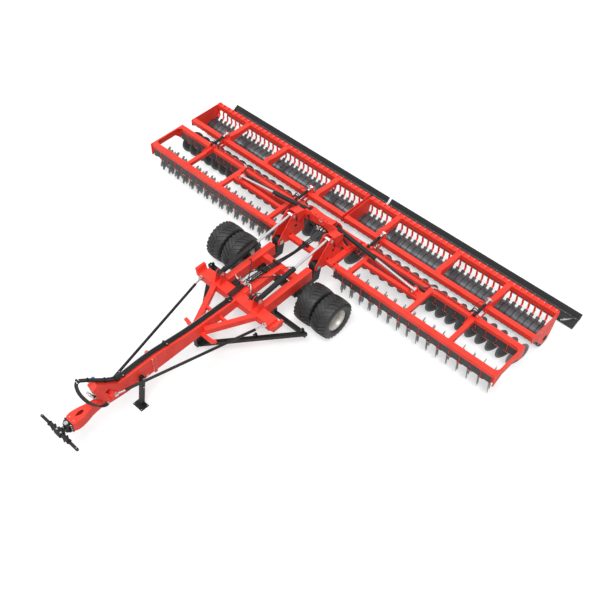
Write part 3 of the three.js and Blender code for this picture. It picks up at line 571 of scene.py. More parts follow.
hose_route = smooth_path(HOSE_LOOP, 4)
last = len(hose_route) - 1
for number in (1, 2, 3):
    centre = []
    for i, point in enumerate(hose_route):
        aside = (number - 2) * HOSE_PITCH + HOSE_ASIDE * min(1, 2 * i / last)
        deep = HOSE_SPREAD * (number - 1) * math.sin(math.pi * i / last)
        centre.append(point + Vector((aside, deep, 0)))
    kit = Kit(f"hose_{number}", "chassis")
    kit.add("hydraulic_hose_rubber", sweep(smooth_path(centre, 2), circle(0, 0, HOSE_RADIUS, 10)))
    stands_for = ["hose_loop"] if number == 1 else []
    hose = kit.build(*stands_for)[0]
    row = [Vector((p.x, p.y + ORIGIN_Y, p.z)) for p in centre]
    length = sum((q - p).length for p, q in zip(row, row[1:]))
print("hose length", round(length, 3))

# %% [markdown]
# ## Discs
# Each disc is pressed from 6 mm boron steel to part of a sphere and runs on its own sealed
# hub. The front row is notched so that it grips stalks, and the rear row is plain. The arm is
# one forging, held between two plates by rubber cords that let it ride over a stone.

# %% One disc
DISC_RADIUS = 0.350
DISC_DEPTH = 0.052
DISC_STEEL = 0.006
DISC_HUB_Z = 0.362
NOTCHES = 8
NOTCH_DEPTH = 0.070


def disc(notched):
    """A dished disc with its axis along X; its wear rises from the hub to the cutting edge."""
    sphere = (DISC_RADIUS ** 2 + DISC_DEPTH ** 2) / (2 * DISC_DEPTH)
    steps = NOTCHES * 8 if notched else 56
    shares = (0.12, 0.26, 0.45, 0.62, 0.76, 0.86, 0.93, 0.97, 1.0)
    points, marks, faces = [], [], []
    for side in (0, 1):
        for share in shares:
            for i in range(steps):
                turn = 2 * math.pi * i / steps
                rim = DISC_RADIUS
                if notched:
                    phase = abs((i * NOTCHES / steps) % 1 - 0.5)
                    rim -= NOTCH_DEPTH * min(1, max(0, (0.26 - phase) / 0.13))
                radius = rim * share
                x = -DISC_DEPTH / 2 + sphere - math.sqrt(sphere ** 2 - radius ** 2)
                thick = DISC_STEEL * (1 if share < 0.95 else (1 - share) / 0.05 * 0.8 + 0.2)
                x += thick if side else 0
                points.append((x, radius * math.cos(turn), radius * math.sin(turn)))
                marks.append(max(0.0, min(1.0, (share - 0.35) / 0.6)))
    count = len(shares)
    for side in (0, 1):
        for k in range(count - 1):
            for i in range(steps):
                j = (i + 1) % steps
                a = (side * count + k) * steps
                face = (a + i, a + j, a + j + steps, a + i + steps)
                faces.append(face[::-1] if side == 0 else face)
        ring = [side * count * steps + i for i in range(steps)]
        faces.append(tuple(ring if side == 0 else ring[::-1]))
    for i in range(steps):
        j = (i + 1) % steps
        a, b = (count - 1) * steps, (2 * count - 1) * steps
        faces.append((a + j, a + i, b + i, b + j))
    return facing_out(Form(points, faces, marks))


NOTCHED_DISC, PLAIN_DISC = disc(True), disc(False)
print("disc faces", len(NOTCHED_DISC.faces), len(PLAIN_DISC.faces))

# %% [markdown]
# The hub is a turned casting behind the disc with a ring of cap screws on its open side. The
# arm leaves the clamp, reaches back and drops behind the disc to the hub.

# %% Hub, arm and clamp
hub_body = turned([
    (0, -0.150), (0.042, -0.150), (0.056, -0.142), (0.060, -0.085), (0.070, -0.075), (0.070, -0.034),
    (0.084, -0.030), (0.084, -0.018), (0, -0.018)], 22)
hub_cover = turned([
    (0.080, -0.024), (0.080, -0.008), (0.066, -0.002), (0.040, 0.006), (0.034, 0.020), (0, 0.022)], 22)
hub_screws = joined([
    bolt((-0.006, 0.058 * math.cos(t), 0.058 * math.sin(t)), (1, 0, 0), 0.017, 0.012, washer=False)
    for t in [2 * math.pi * i / 5 + 0.3 for i in range(5)]])
ARM_X = -0.115
CLAMP_X = -0.130
CLAMP_Z = 0.560


def disc_arm(reach):
    """The forging from the clamp at the beam to the hub, which sits reach behind the clamp."""
    curve = smooth_path([(ARM_X, y, z) for y, z in (
        (-0.01, CLAMP_Z + 0.02), (0.045, CLAMP_Z - 0.035), (0.45 * reach, CLAMP_Z - 0.085),
        (0.85 * reach, CLAMP_Z - 0.115), (reach + 0.015, DISC_HUB_Z + 0.055),
        (reach, DISC_HUB_Z))], 5)
    section = [(-0.017, -0.026), (-0.010, -0.032), (0.010, -0.032), (0.017, -0.026),
               (0.017, 0.026), (0.010, 0.032), (-0.010, 0.032), (-0.017, 0.026)]
    eye = turned(rounded(0.048, 0.058, 0.006, -0.024), 18, (ARM_X, reach, DISC_HUB_Z))
    return joined([sweep(curve, section, level=(1, 0, 0)), eye])


clamp_outer = slab("x", CLAMP_X - 0.055, CLAMP_X + 0.055, [
    (0.0, CLAMP_Z - 0.066), (0.066, CLAMP_Z), (0.0, CLAMP_Z + 0.066), (-0.066, CLAMP_Z)], 0.008)
CORE_LENGTH = 0.210
clamp_core = slab("x", -CORE_LENGTH / 2, CORE_LENGTH / 2, [
    (-0.030, CLAMP_Z - 0.03), (0.030, CLAMP_Z - 0.03), (0.030, CLAMP_Z + 0.03),
    (-0.030, CLAMP_Z + 0.03)], 0.006)
clamp_rubbers = joined([
    turned(rounded(0.128, 0.015, 0.003, CLAMP_X - 0.064), 12, (0.0, dy, CLAMP_Z + dz))
    for dy, dz in ((0.044, 0), (-0.044, 0), (0, 0.044), (0, -0.044))])
clamp_nuts = joined([
    bolt((CLAMP_X + dx, -0.046, CLAMP_Z - 0.020), (0, -0.7, -0.7), 0.024, 0.016)
    for dx in (-0.034, 0.034)])
print("arm and clamp ready")

# %% [markdown]
# Under every wing beam runs a rail: one dark panel for each disc in front of its clamp, and thin
# red hanger plates between them, a long one and a short one in turn.

# %% Disc rows
DISC_PITCH = 0.305
WING_PLACES = [1.2 + DISC_PITCH * i for i in range(16)]
CENTRE_PLACES = [DISC_PITCH * (i - 2.5) for i in range(6)]
TRAIL, CENTRE_TRAIL = 0.290, 0.125     # from the beam's front face back to the disc
FRONT_BEAM_Y, REAR_BEAM_Y = 0.030, 1.070
BEAM, BEAM_BOTTOM, FRAME_TOP = 0.150, 0.830, 0.950


def disc_row(node, body, places, beam_y, trail, angle, notched):
    """All discs under one beam, with their arms, clamps, panels and hanger plates."""
    kit = Kit(node, body)
    form = NOTCHED_DISC if notched else PLAIN_DISC
    turn = Matrix.Rotation(math.radians(angle), 4, "Z")
    rail_y = beam_y + BEAM / 2
    arm = disc_arm(trail - BEAM / 2)
    # The rear row gets the darker copy of the disc steel: painted shade.
    steel = "hardened_disc_steel" if notched else "shaded_disc_steel"
    low, high = min(places), max(places)
    hubs = [Matrix.Translation((x, beam_y + trail, DISC_HUB_Z)) @ turn for x in places]
    kit.add(steel, *[form.placed(hub @ Matrix.Rotation(0.37 * i, 4, "X"))
                     for i, hub in enumerate(hubs)])
    kit.add("forged_arm_steel", *[arm.moved(x, rail_y) for x in places])
    kit.add("black_satin_coat", *[part.placed(hub) for hub in hubs for part in (hub_body, hub_cover)])
    kit.add("zinc_plated_steel", *[hub_screws.placed(hub) for hub in hubs])
    kit.add("forged_arm_steel", *[clamp_outer.moved(x, rail_y) for x in places])
    kit.add("clamp_rubber", *[clamp_rubbers.moved(x, rail_y) for x in places])
    kit.add("zinc_plated_steel", *[clamp_nuts.moved(x, rail_y) for x in places])
    middle = Matrix.Translation(((low + high) / 2, rail_y, 0))
    stretch = Matrix.Diagonal(((high - low + 0.2) / CORE_LENGTH, 1, 1, 1))
    kit.add("grey_clamp_coat", clamp_core.placed(middle @ stretch))
    front = beam_y + 0.004
    panel = slab("y", front, front + 0.008, [
        (-0.141, 0.606), (-0.125, 0.590), (0.125, 0.590), (0.141, 0.606), (0.141, BEAM_BOTTOM),
        (-0.141, BEAM_BOTTOM)], 0.002)
    rear_panel = slab("y", front + 0.130, front + 0.138, [
        (-0.141, 0.665), (0.141, 0.665), (0.141, BEAM_BOTTOM), (-0.141, BEAM_BOTTOM)], 0.002)
    kit.add("grey_clamp_coat", *[part.moved(x) for x in places for part in (panel, rear_panel)])
    long_plate = slab("x", -0.006, 0.006, [
        (0.0, BEAM_BOTTOM), (0.0, 0.60), (0.012, 0.535), (0.040, 0.505), (0.110, 0.505), (0.138, 0.535),
        (0.148, 0.60), (0.148, BEAM_BOTTOM)], 0.002)
    short_plate = slab("x", -0.006, 0.006, [
        (0.0, 0.775), (0.0, 0.645), (0.020, 0.625), (0.128, 0.625), (0.148, 0.645),
        (0.148, 0.775)], 0.002)
    for i in range(len(places) + 1):
        x = low - DISC_PITCH / 2 + DISC_PITCH * i
        kit.add("red_powder_coat", (long_plate if i % 2 else short_plate).moved(x, beam_y - 0.004))
        kit.add("red_powder_coat", *[block(
            (x + dx - 0.012, beam_y - 0.006, 0.560), (x + dx + 0.012, beam_y + 0.010, 0.596), 0.003)
            for dx in (-0.05, 0.05)])
        if i % 2 and 0 < i < len(places):
            kit.add("zinc_plated_steel", *[
                bolt((x + way * 0.006, beam_y + dy, 0.535), (way, 0, 0), 0.020, 0.012)
                for way, dy in ((1, 0.03), (-1, 0.11))])
    return kit.build(node)


for name, sign in SIDES:
    places = [sign * x for x in WING_PLACES]
    disc_row(f"{name}_front_disc_row", f"{name}_wing", places, FRONT_BEAM_Y, TRAIL, 17, True)
    disc_row(f"{name}_rear_disc_row", f"{name}_wing", places, REAR_BEAM_Y, TRAIL, -17, False)
disc_row("centre_disc_row", "centre", CENTRE_PLACES, REAR_BEAM_Y, CENTRE_TRAIL, -17, False)
print("pieces so far", totals)

# %% [markdown]
# ## Packer rollers
# A packer is a long smooth drum rolled from sheet, with a narrow ring at every scraper that is painted
# dark as shade.
# The ends are open, with a web that has four holes and a stub shaft.

# %% Packer rollers
ROLLER_Y = 2.300
ROLLER_RADIUS = 0.275
ROLLER_AXIS = (0.0, ROLLER_Y, ROLLER_RADIUS)
DRUM_INSIDE, DRUM_FACE, RING_FACE = 0.252, 0.267, 0.2745
RING_PITCH = 0.175
DRUM_START, DRUM_END = 0.064, 5.956
SCRAPER_PLACES = [0.146 + RING_PITCH * i for i in range(34)]


def packer_drum():
    rows, wear_and_shade = [(DRUM_INSIDE, DRUM_START), (DRUM_FACE, DRUM_START)], [0, 0]
    for x in SCRAPER_PLACES:
        # Ring crests get 1, so the drum's dark colour is painted on them as shade.
        for dx, radius, mark in ((-0.012, DRUM_FACE, 0), (-0.008, RING_FACE, 1),
                                 (0.008, RING_FACE, 1), (0.012, DRUM_FACE, 0)):
            if DRUM_START < x + dx < DRUM_END:
                rows.append((radius, x + dx))
                wear_and_shade.append(mark)
    rows += [(DRUM_FACE, DRUM_END), (DRUM_INSIDE, DRUM_END), (DRUM_INSIDE, DRUM_START)]
    wear_and_shade += [0, 0, 0]
    drum = turned(rows, 72, ROLLER_AXIS, wear_and_shade)
    webs = []
    for x in (DRUM_START + 0.020, DRUM_END - 0.032):
        openings = [circle(ROLLER_Y + 0.150 * math.cos(t), ROLLER_RADIUS + 0.150 * math.sin(t),
                           0.058, 20) for t in (0, math.pi / 2, math.pi, 3 * math.pi / 2)]
        rim = circle(ROLLER_Y, ROLLER_RADIUS, 0.254, 48)
        webs.append(slab("x", x, x + 0.012, rim, 0.002, openings))
        webs.append(turned(rounded(0.05, 0.070, 0.006, x - 0.019), 24, ROLLER_AXIS))
    return drum, joined(webs)


drum, drum_webs = packer_drum()
stubs = joined([turned(rounded(0.060, 0.0412, 0.004, start), 24, ROLLER_AXIS)
                for start in (DRUM_START - 0.020, DRUM_END - 0.040)])
for name, sign in SIDES:
    kit = Kit(f"{name}_packer_roller", f"{name}_packer")
    add_all(kit, {"packer_drum_steel": [drum, drum_webs], "zinc_plated_steel": [stubs]}, sign)
    kit.build(f"{name}_packer_roller")
print("pieces so far", totals)

# %% [markdown]
# ## Wheels
# A flotation tyre has a broad, low crown with two rows of angled bars that meet near the middle.
# The bars are moulded with the carcass. Here each bar follows the crown as its own strip.

# %% Tyres
AXLE_Y = -0.954
TYRE_RADIUS = 0.537
TYRE_PLACES = {"inner": 1.307, "outer": 1.859}
BARS = 26
CARCASS_HALF = [
    (0.516, 0.120), (0.508, 0.190), (0.492, 0.226), (0.462, 0.246), (0.420, 0.254), (0.372, 0.252),
    (0.330, 0.238), (0.306, 0.222), (0.292, 0.200)]
CARCASS = [*[(radius, -x) for radius, x in CARCASS_HALF[::-1]], (0.519, 0.0), *CARCASS_HALF]
CARCASS.append(CARCASS[0])


def crown(x):
    """The radius of the bars' tops, x away from the middle of the tyre."""
    return 0.5365 - 0.020 * (abs(x) / 0.22) ** 2.4


def tread():
    """Two rows of bars, set half a step apart; each bar is a strip laid over the crown."""
    bars = []
    for side in (1, -1):
        for i in range(BARS):
            base = 2 * math.pi * (i + (0.5 if side < 0 else 0)) / BARS
            points, marks, faces = [], [], []
            steps = 7
            for k in range(steps + 1):
                share = k / steps
                x = side * (-0.010 + 0.238 * share)
                lead = base + 0.30 * (1 - share) ** 1.25 * 0.9
                half = (0.020 + 0.012 * share) / TYRE_RADIUS
                top = crown(x)
                foot = 0.506 if abs(x) < 0.19 else 0.506 - (abs(x) - 0.19) * 0.95
                for turn, radius, mark in ((-half * 1.2, foot, 0), (-half * 0.86, top, 1),
                                           (half * 0.86, top, 1), (half * 1.2, foot, 0)):
                    angle = lead + turn
                    points.append((x, radius * math.cos(angle), radius * math.sin(angle)))
                    marks.append(mark * 0.8)
            for k in range(steps):
                for j in range(4):
                    a, b = k * 4 + j, k * 4 + (j + 1) % 4
                    face = (a, b, b + 4, a + 4)
                    faces.append(face if side < 0 else face[::-1])
            first, last = (0, 1, 2, 3), tuple(steps * 4 + j for j in range(4))
            faces += [first, last[::-1]] if side > 0 else [first[::-1], last]
            bars.append(Form(points, faces, marks))
    return joined(bars)


tyre_form = joined([turned(CARCASS, 96), tread()])
for name, sign in SIDES:
    for place, x in TYRE_PLACES.items():
        kit = Kit(f"{name}_{place}_tyre", f"{name}_wheels")
        spin = Matrix.Rotation(0.1 if place == "inner" else 0.21, 4, "X")
        hub = Matrix.Translation((sign * x, AXLE_Y, TYRE_RADIUS))
        kit.add("tyre_rubber", tyre_form.placed(hub @ spin))
        kit.build(f"{name}_{place}_tyre")
print("pieces so far", totals)

# %% [markdown]
# The rim is rolled with a deep well and two flanges, and a pressed disc carries the nuts. The pair of
# wheels shares one hub, coated black, whose cap fills the centre of the outer disc; its black also stands
# in for the shade in that centre.

# %% Rims
def rim_form(centre, disc_x):
    shell = turned([
        (0.2915, -0.205), (0.2915, -0.150), (0.268, -0.128), (0.262, -0.05), (0.262, 0.05),
        (0.268, 0.128), (0.2915, 0.150), (0.2915, 0.205), (0.284, 0.205), (0.280, 0.155),
        (0.260, 0.132), (0.254, 0.05), (0.254, -0.05), (0.260, -0.132), (0.280, -0.155),
        (0.284, -0.205), (0.2915, -0.205)], 72)
    away = 1 if disc_x > centre else -1
    plate = turned([
        (0.256, 0.004), (0.225, -0.014 * away), (0.150, 0.008 * away), (0.075, 0.010 * away),
        (0.075, 0.010 * away - 0.012), (0.150, 0.008 * away - 0.012), (0.225, -0.014 * away - 0.012),
        (0.256, -0.008), (0.256, 0.004)], 72)
    seat = 0.008 * away + (0.0 if away > 0 else -0.012)
    nuts = joined([bolt((seat, 0.1125 * math.cos(t), 0.1125 * math.sin(t)), (away, 0, 0), 0.027, 0.022)
                   for t in [2 * math.pi * i / 10 for i in range(10)]])
    return shell.moved(centre), plate.moved(disc_x), nuts.moved(disc_x)


DISC_X = {"inner": 1.492, "outer": 1.674}
hub_parts = turned([
    (0.052, 1.060), (0.118, 1.060), (0.120, 1.064), (0.120, 1.100), (0.096, 1.120), (0.096, 1.440),
    (0.120, 1.460), (0.120, 1.694), (0.100, 1.700), (0.078, 1.712), (0.072, 1.722), (0, 1.724),
    (0, 1.520), (0.052, 1.520), (0.052, 1.060)], 36).moved(0, AXLE_Y, TYRE_RADIUS)
for name, sign in SIDES:
    kit = Kit(f"{name}_wheel_rims", f"{name}_wheels")
    for place, centre in TYRE_PLACES.items():
        shell, plate, nuts = [form.moved(0, AXLE_Y, TYRE_RADIUS)
                              for form in rim_form(centre, DISC_X[place])]
        add_all(kit, {"silver_rim_coat": [shell, plate], "zinc_plated_steel": [nuts]}, sign)
    # The hub's black coat is also painted shade for the dark centre of the rims.
    add_all(kit, {"black_satin_coat": [hub_parts]}, sign)
    kit.build(f"{name}_wheel_rims")
print("pieces so far", totals)

# %% [markdown]
# ## Cylinders
# A welded hydraulic cylinder has a honed tube, an end cap with its eye or trunnion, a bolted
# gland at the mouth and two ports with steel fittings. The rod is ground and chromed. Barrel
# and rod ride different bodies, so the rod slides as the machine folds.

# %% Cylinder forms
def barrel_forms(base, pin_at, across, length, radius, trunnion, half_gap, ports=(0.09, 0.92),
                 port_up=(0, 0, 1)):
    """Tube, trunnion, gland and ports; a port's place is a share of the tube's length."""
    base, pin_at, across = Vector(base), Vector(pin_at), Vector(across)
    along = (pin_at - base).normalized()
    up = (Vector(port_up) - along * Vector(port_up).dot(along)).normalized()
    body = turned([
        (0, 0.012), (radius * 0.72, 0.012), (radius * 0.96, 0.030), (radius * 0.96, length - 0.075),
        (radius * 0.97, length - 0.072), (radius, length - 0.070), (radius, length - 0.006),
        (radius - 0.006, length), (radius * 0.62, length), (radius * 0.62, length - 0.012),
        (0, length - 0.012)], 32).aimed(base, along)
    eye = bar(base, across, 2 * half_gap, trunnion, 0.005, 28, -half_gap)
    gland = turned([
        (radius * 0.62, length - 0.003), (radius * 0.86, length - 0.003),
        (radius * 0.86, length + 0.010), (radius * 0.60, length + 0.012),
        (radius * 0.62, length - 0.003)], 28).aimed(base, along)
    blocks, fittings = [], []
    for share in ports:
        seat = base + along * (share * length) + up * (radius * 0.9)
        blocks.append(bar(seat, up, 0.030, 0.019, sides=14))
        fittings.append(bar(seat + up * 0.030, up, 0.020, 0.0135, 0.002))
    return {"black_satin_coat": [body, eye, *blocks], "zinc_plated_steel": [gland, *fittings]}


def rod_forms(base, pin_at, across, start, radius, crosshead, half_gap, neck=0.055):
    """The rod from inside its barrel to the crosshead on its pin."""
    base, pin_at, across = Vector(base), Vector(pin_at), Vector(across)
    along = (pin_at - base).normalized()
    reach = (pin_at - base).length
    shoulder, inside = reach - crosshead - neck, reach - crosshead * 0.5
    shaft = turned([(0, start), (radius, start), (radius, shoulder), (radius * 1.18, shoulder + 0.006),
                    (radius * 1.18, inside), (0, inside)], 28).aimed(base, along)
    head = bar(pin_at, across, 2 * half_gap, crosshead, 0.004, 28, -half_gap)
    return {"ground_chrome": [shaft, head]}


# %% [markdown]
# The two lift cylinders raise the whole working unit. They move together, so both barrels make
# one body and both rods another. A short hose bends away from each port.

# %% Lift cylinders
LIFT_BASE, LIFT_PIN = (0.650, -2.250, 1.262), (0.650, 0.232, 1.513)
LIFT_BARREL = 1.270
lift_barrels = Kit("lift_barrels", "lift_barrels")
lift_rods = Kit("lift_rods", "lift_rods")
lift_along = (Vector(LIFT_PIN) - Vector(LIFT_BASE)).normalized()
for name, sign in SIDES:
    add_all(lift_barrels, barrel_forms(LIFT_BASE, LIFT_PIN, (1, 0, 0), LIFT_BARREL, 0.070, 0.060,
                                       0.0747), sign)
    add_all(lift_rods, rod_forms(LIFT_BASE, LIFT_PIN, (1, 0, 0), 1.180, 0.035, 0.045, 0.1007), sign)
    for share, drop in ((0.09, 0.36), (0.92, 0.10)):
        seat = Vector(LIFT_BASE) + lift_along * (share * LIFT_BARREL) + Vector((0, 0, 0.112))
        line = pipe([seat, seat + Vector((-0.02, -0.03, 0.035)), seat + Vector((-0.075, -0.10, 0.03)),
                     seat + Vector((-0.11, -0.20 - drop / 3, -0.03))], 0.011, 10)
        add_all(lift_barrels, {"hydraulic_hose_rubber": [line]}, sign)
lift_barrels.build("left_lift_barrel", "right_lift_barrel")
lift_rods.build("left_lift_rod", "right_lift_rod")

# %% [markdown]
# Each fold cylinder lies across its wing, from the arch to the truss. Its ports face forward,
# clear of the wing that comes up beside it.

# %% Fold cylinders
FOLD_BASE, FOLD_PIN = (0.470, 0.775, 1.400), (3.030, 0.775, 1.012)
for name, sign in SIDES:
    kit = Kit(f"{name}_fold_barrel", f"{name}_fold_barrel")
    add_all(kit, barrel_forms(FOLD_BASE, FOLD_PIN, (0, 1, 0), 1.340, 0.065, 0.055, 0.0817,
                              port_up=(0, -1, 0.25)), sign)
    kit.build(f"{name}_fold_barrel")
    kit = Kit(f"{name}_fold_rod", f"{name}_fold_rod")
    add_all(kit, rod_forms(FOLD_BASE, FOLD_PIN, (0, 1, 0), 1.230, 0.033, 0.050, 0.0667), sign)
    kit.build(f"{name}_fold_rod")

# %% [markdown]
# The four small cylinders set how deep the discs run. Their rods carry a stack of aluminium
# clips that limits the stroke, which shows as a bright block between gland and eye.

# %% Depth cylinders
DEPTH_PLACES = (1.280, 4.600)
DEPTH_BASE, DEPTH_EYE = (1.130, 1.035), (1.720, 1.090)
CLIP_START, CLIP_STEP, CLIP_LENGTH, CLIP_HALF = 0.4725, 0.021, 0.018, 0.034
for name, sign in SIDES:
    barrels = Kit(f"{name}_depth_barrels", f"{name}_depth_barrels")
    rods = Kit(f"{name}_depth_rods", f"{name}_depth_rods")
    for x in DEPTH_PLACES:
        base, end = (x, *DEPTH_BASE), (x, *DEPTH_EYE)
        add_all(barrels, barrel_forms(base, end, (1, 0, 0), 0.420, 0.042, 0.040, 0.0477,
                                      (0.16, 0.84)), sign)
        forms = rod_forms(base, end, (1, 0, 0), 0.200, 0.022, 0.036, 0.0477, 0.03)
        along = (Vector(end) - Vector(base)).normalized()
        starts = [CLIP_START + CLIP_STEP * i for i in range(3)]
        forms["zinc_plated_steel"] = [
            block((start, -CLIP_HALF, -CLIP_HALF), (start + CLIP_LENGTH, CLIP_HALF, CLIP_HALF),
                  0.004).aimed(base, along) for start in starts]
        add_all(rods, forms, sign)
    barrels.build(f"{name}_inner_depth_barrel", f"{name}_outer_depth_barrel")
    rods.build(f"{name}_inner_depth_rod", f"{name}_outer_depth_rod")
print("pieces so far", totals)

# %% [markdown]
# ## Welded frames
# The frames keep the model's own shape. Their meshes come in with split points and knife-sharp
# edges, so a weld and a small bevel give them the rounded corners of rolled tube and cut plate.

# %% Soften and colour the kept nodes
WING_EDGES_MM = {"wing_front_beam": 8, "wing_rear_beam": 6, "wing_end_plate": 3, "wing_truss": 6,
                 "roller_frame": 4}
EDGES_MM = {
    "red_powder_coat": {"chassis_frame": 6, "drawbar": 8, "centre_frame": 5, "fold_arch": 3},
    "black_satin_coat": {"lower_frame": 6, "axle_frame": 5, "parking_stand": 5,
                         "left_drag_board": 2, "right_drag_board": 2}}
for node, width in WING_EDGES_MM.items():
    for name, _ in SIDES:
        EDGES_MM["red_powder_coat"][f"{name}_{node}"] = width

for finish_name, nodes in EDGES_MM.items():
    for node, width in nodes.items():
        piece = bpy.data.objects[node]
        piece.data.materials.clear()
        piece.data.materials.append(FINISHES[finish_name])
        weld = piece.modifiers.new("weld", "WELD")
        weld.merge_threshold = 0.0002
        bevel = piece.modifiers.new("bevel", "BEVEL")
        bevel.width = width / 1000
        bevel.segments = 2
        bevel.limit_method = "ANGLE"
        bevel.angle_limit = math.radians(40)
        piece.data.shade_flat()
print("kept nodes", sum(len(nodes) for nodes in EDGES_MM.values()))

# %% [markdown]
# ## Wing fittings
# A wing frame is two tubes held by cross members and closed by a plate. Around the tubes go
# doubler plates, weld beads, hinge pins, a run of hydraulic pipes, and the brackets that hold
# the depth cylinders. Everything here is made for the left wing and mirrored for the right.

# %% Beam plates and welds
def weld_bead(start, end, radius=0.006):
    """A bead with the ripples of a hand-laid fillet weld."""
    start, end = Vector(start), Vector(end)
    length = (end - start).length
    count = max(4, int(length / 0.012))
    rows = [(radius * (0.92 + 0.16 * (k % 2)), length * k / count) for k in range(count + 1)]
    return turned([(0, 0), *rows, (0, rows[-1][1])], 6).aimed(start, end - start)


MEMBERS = (1.430, 3.300, 4.600)
END_PLATE_X = 5.980
DOUBLER_TOP = FRAME_TOP + 0.006
wing_welds = []
wing_plates = [
    slab("z", FRAME_TOP, DOUBLER_TOP, [(1.16, 0.036), (2.26, 0.036), (2.38, 0.174), (1.16, 0.174)],
         0.002),
    slab("y", 0.024, 0.030, [(1.16, 0.836), (2.38, 0.836), (2.26, 0.944), (1.16, 0.944)], 0.002),
    slab("z", FRAME_TOP, DOUBLER_TOP, [(1.16, 1.076), (1.92, 1.076), (1.80, 1.214), (1.16, 1.214)],
         0.002)]
for x in MEMBERS:
    for y0, y1 in ((0.026, 0.184), (1.066, 1.224)):
        wing_plates.append(slab("z", FRAME_TOP, FRAME_TOP + 0.004, [
            (x - 0.085, y0), (x + 0.085, y0), (x + 0.070, y1), (x - 0.070, y1)], 0.0015))
    for y in (0.183, 1.067):
        wing_welds.append(weld_bead((x - 0.06, y, 0.942), (x + 0.06, y, 0.942)))
        for dx in (-0.062, 0.062):
            wing_welds.append(weld_bead((x + dx, y, 0.832), (x + dx, y, 0.940)))

# %% [markdown]
# The end plate has a flange that runs along its top between the beams, with a round inner corner
# at each end. A gusset block stiffens each beam's end below it.

# %% End plate flange
CORNER, FLANGE, FLANGE_FRONT = 0.12, 0.030, 0.180
inner_edge = END_PLATE_X - FLANGE
flange = [(END_PLATE_X, FLANGE_FRONT), (END_PLATE_X, REAR_BEAM_Y)]
flange += circle(inner_edge - CORNER, REAR_BEAM_Y - CORNER, CORNER, 8, 90, 0)
flange += circle(inner_edge - CORNER, FLANGE_FRONT + CORNER, CORNER, 8, 0, -90)
wing_plates.append(slab("z", FRAME_TOP - 0.012, FRAME_TOP, flange, 0.002))
for y in (0.055, 1.095):
    wing_plates.append(block((END_PLATE_X - 0.10, y, 0.640),
                             (END_PLATE_X - 0.002, y + 0.10, BEAM_BOTTOM), 0.004))

# %% [markdown]
# Each pin has wide heads that hold it in its ears. Two curved ears carry the foot of each depth
# cylinder.

# %% Hinge pins and ears
FOLD_HINGE, ROLLER_HINGE = (1.050, 0.880), (1.310, 0.800)
hinge_x, hinge_z = FOLD_HINGE
truss_x, truss_z = FOLD_PIN[0], FOLD_PIN[2]
wing_pins = [pin((hinge_x, y0, hinge_z), (hinge_x, y1, hinge_z), 0.033, 0.052)
             for y0, y1 in ((0.012, 0.198), (1.052, 1.238))]
wing_pins.append(pin((truss_x, 0.680, truss_z), (truss_x, 0.870, truss_z), 0.030, 0.046))
wing_pins += [bolt((truss_x, y, truss_z), (0, d, 0), 0.040, 0.02)
              for y, d in ((0.680, -1), (0.870, 1))]
depth_plates = []
for x in DEPTH_PLACES:
    wing_pins.append(pin_across((x, *DEPTH_BASE), 0.092, 0.017, 0.030))
    wing_pins.append(pin_across((x, *ROLLER_HINGE), 0.100, 0.026, 0.042))
    for side in (-1, 1):
        face = x + side * 0.0625
        depth_plates.append(slab("x", *sorted((face, face + side * 0.012)), [
            (0.780, 0.948), (0.860, 0.985), (1.040, 1.000), *circle(*DEPTH_BASE, 0.050, 6, 170, 10),
            (1.205, 0.948)], 0.002))

# %% [markdown]
# Four rigid pipes lie side by side on the rear beam in clips, with a union where each is made up. Flexible
# hoses leave them for the ports of the depth cylinders. Those hoses reach from the wing to barrels that
# tilt, so they are built as a piece that rides no body.

# %% Pipes and hoses of a wing
pipes_red, pipes_black, fittings = [], [], []
for k, (y, z) in enumerate(((1.172, 0.966), (1.190, 0.966), (1.208, 0.966), (1.226, 0.958))):
    bag = pipes_red if k in (1, 3) else pipes_black
    union, stop = 3.24 + 0.03 * k, 4.42 - 0.03 * k
    bag.append(pipe([(1.20, y, z), (1.9, y, z), (union, y, z)], 0.0075, 8, 2))
    bag.append(pipe([(3.34 + 0.03 * k, y, z), (3.9, y, z), (stop, y, z)], 0.0075, 8, 2))
    fittings.append(turned(rounded(0.10, 0.0125, 0.002), 6, (union, y, z)))
for x in (1.35, 1.75, 2.15, 2.55, 2.95, 3.75, 4.15):
    depth_plates.append(block((x - 0.015, 1.160, 0.950), (x + 0.015, 1.238, 0.978), 0.003))

HOSE_R = 0.010
depth_along = Vector((0, 0.9957, 0.0928))      # the way the depth cylinders point
port_hoses, port_nuts = [], []
for x in DEPTH_PLACES:
    for k in range(2):
        a = (4.42 - 0.03 * k, 1.172 + 0.018 * k, 0.966) if x > 3 else (1.50, 1.172 + 0.018 * k, 0.970)
        port = Vector((x, *DEPTH_BASE)) + depth_along * (0.067 + 0.286 * k) + Vector((0, 0, 0.058))
        middle = (Vector(a) + port) / 2 + Vector((0, 0.02 + 0.05 * k, 0.11 + 0.03 * k))
        port_hoses.append(pipe([a, (a[0] + (port.x - a[0]) * 0.25, a[1] + 0.03, 1.02), middle,
                                port + Vector((0, 0, 0.045)), port], HOSE_R, 9))
        port_nuts.append(bar(port, (0, 0, 1), 0.035, 0.014, 0.002))
hoses = []
for k in range(2):
    y, beside = 0.990 + 0.030 * k, 0.93 + 0.03 * k
    hoses.append(pipe([
        (1.50, y + 0.03, 0.968), (1.90, y, 1.000), (2.35, y - 0.05, 0.975), (2.75, beside, 1.015),
        (2.95, beside, 1.0), (3.18, 1.02 + 0.04 * k, 0.975), (3.24, 1.17 + 0.02 * k, 0.966)],
        HOSE_R, 9))

# %% [markdown]
# Everything so far was made for the left wing, so the right wing takes the mirror images.

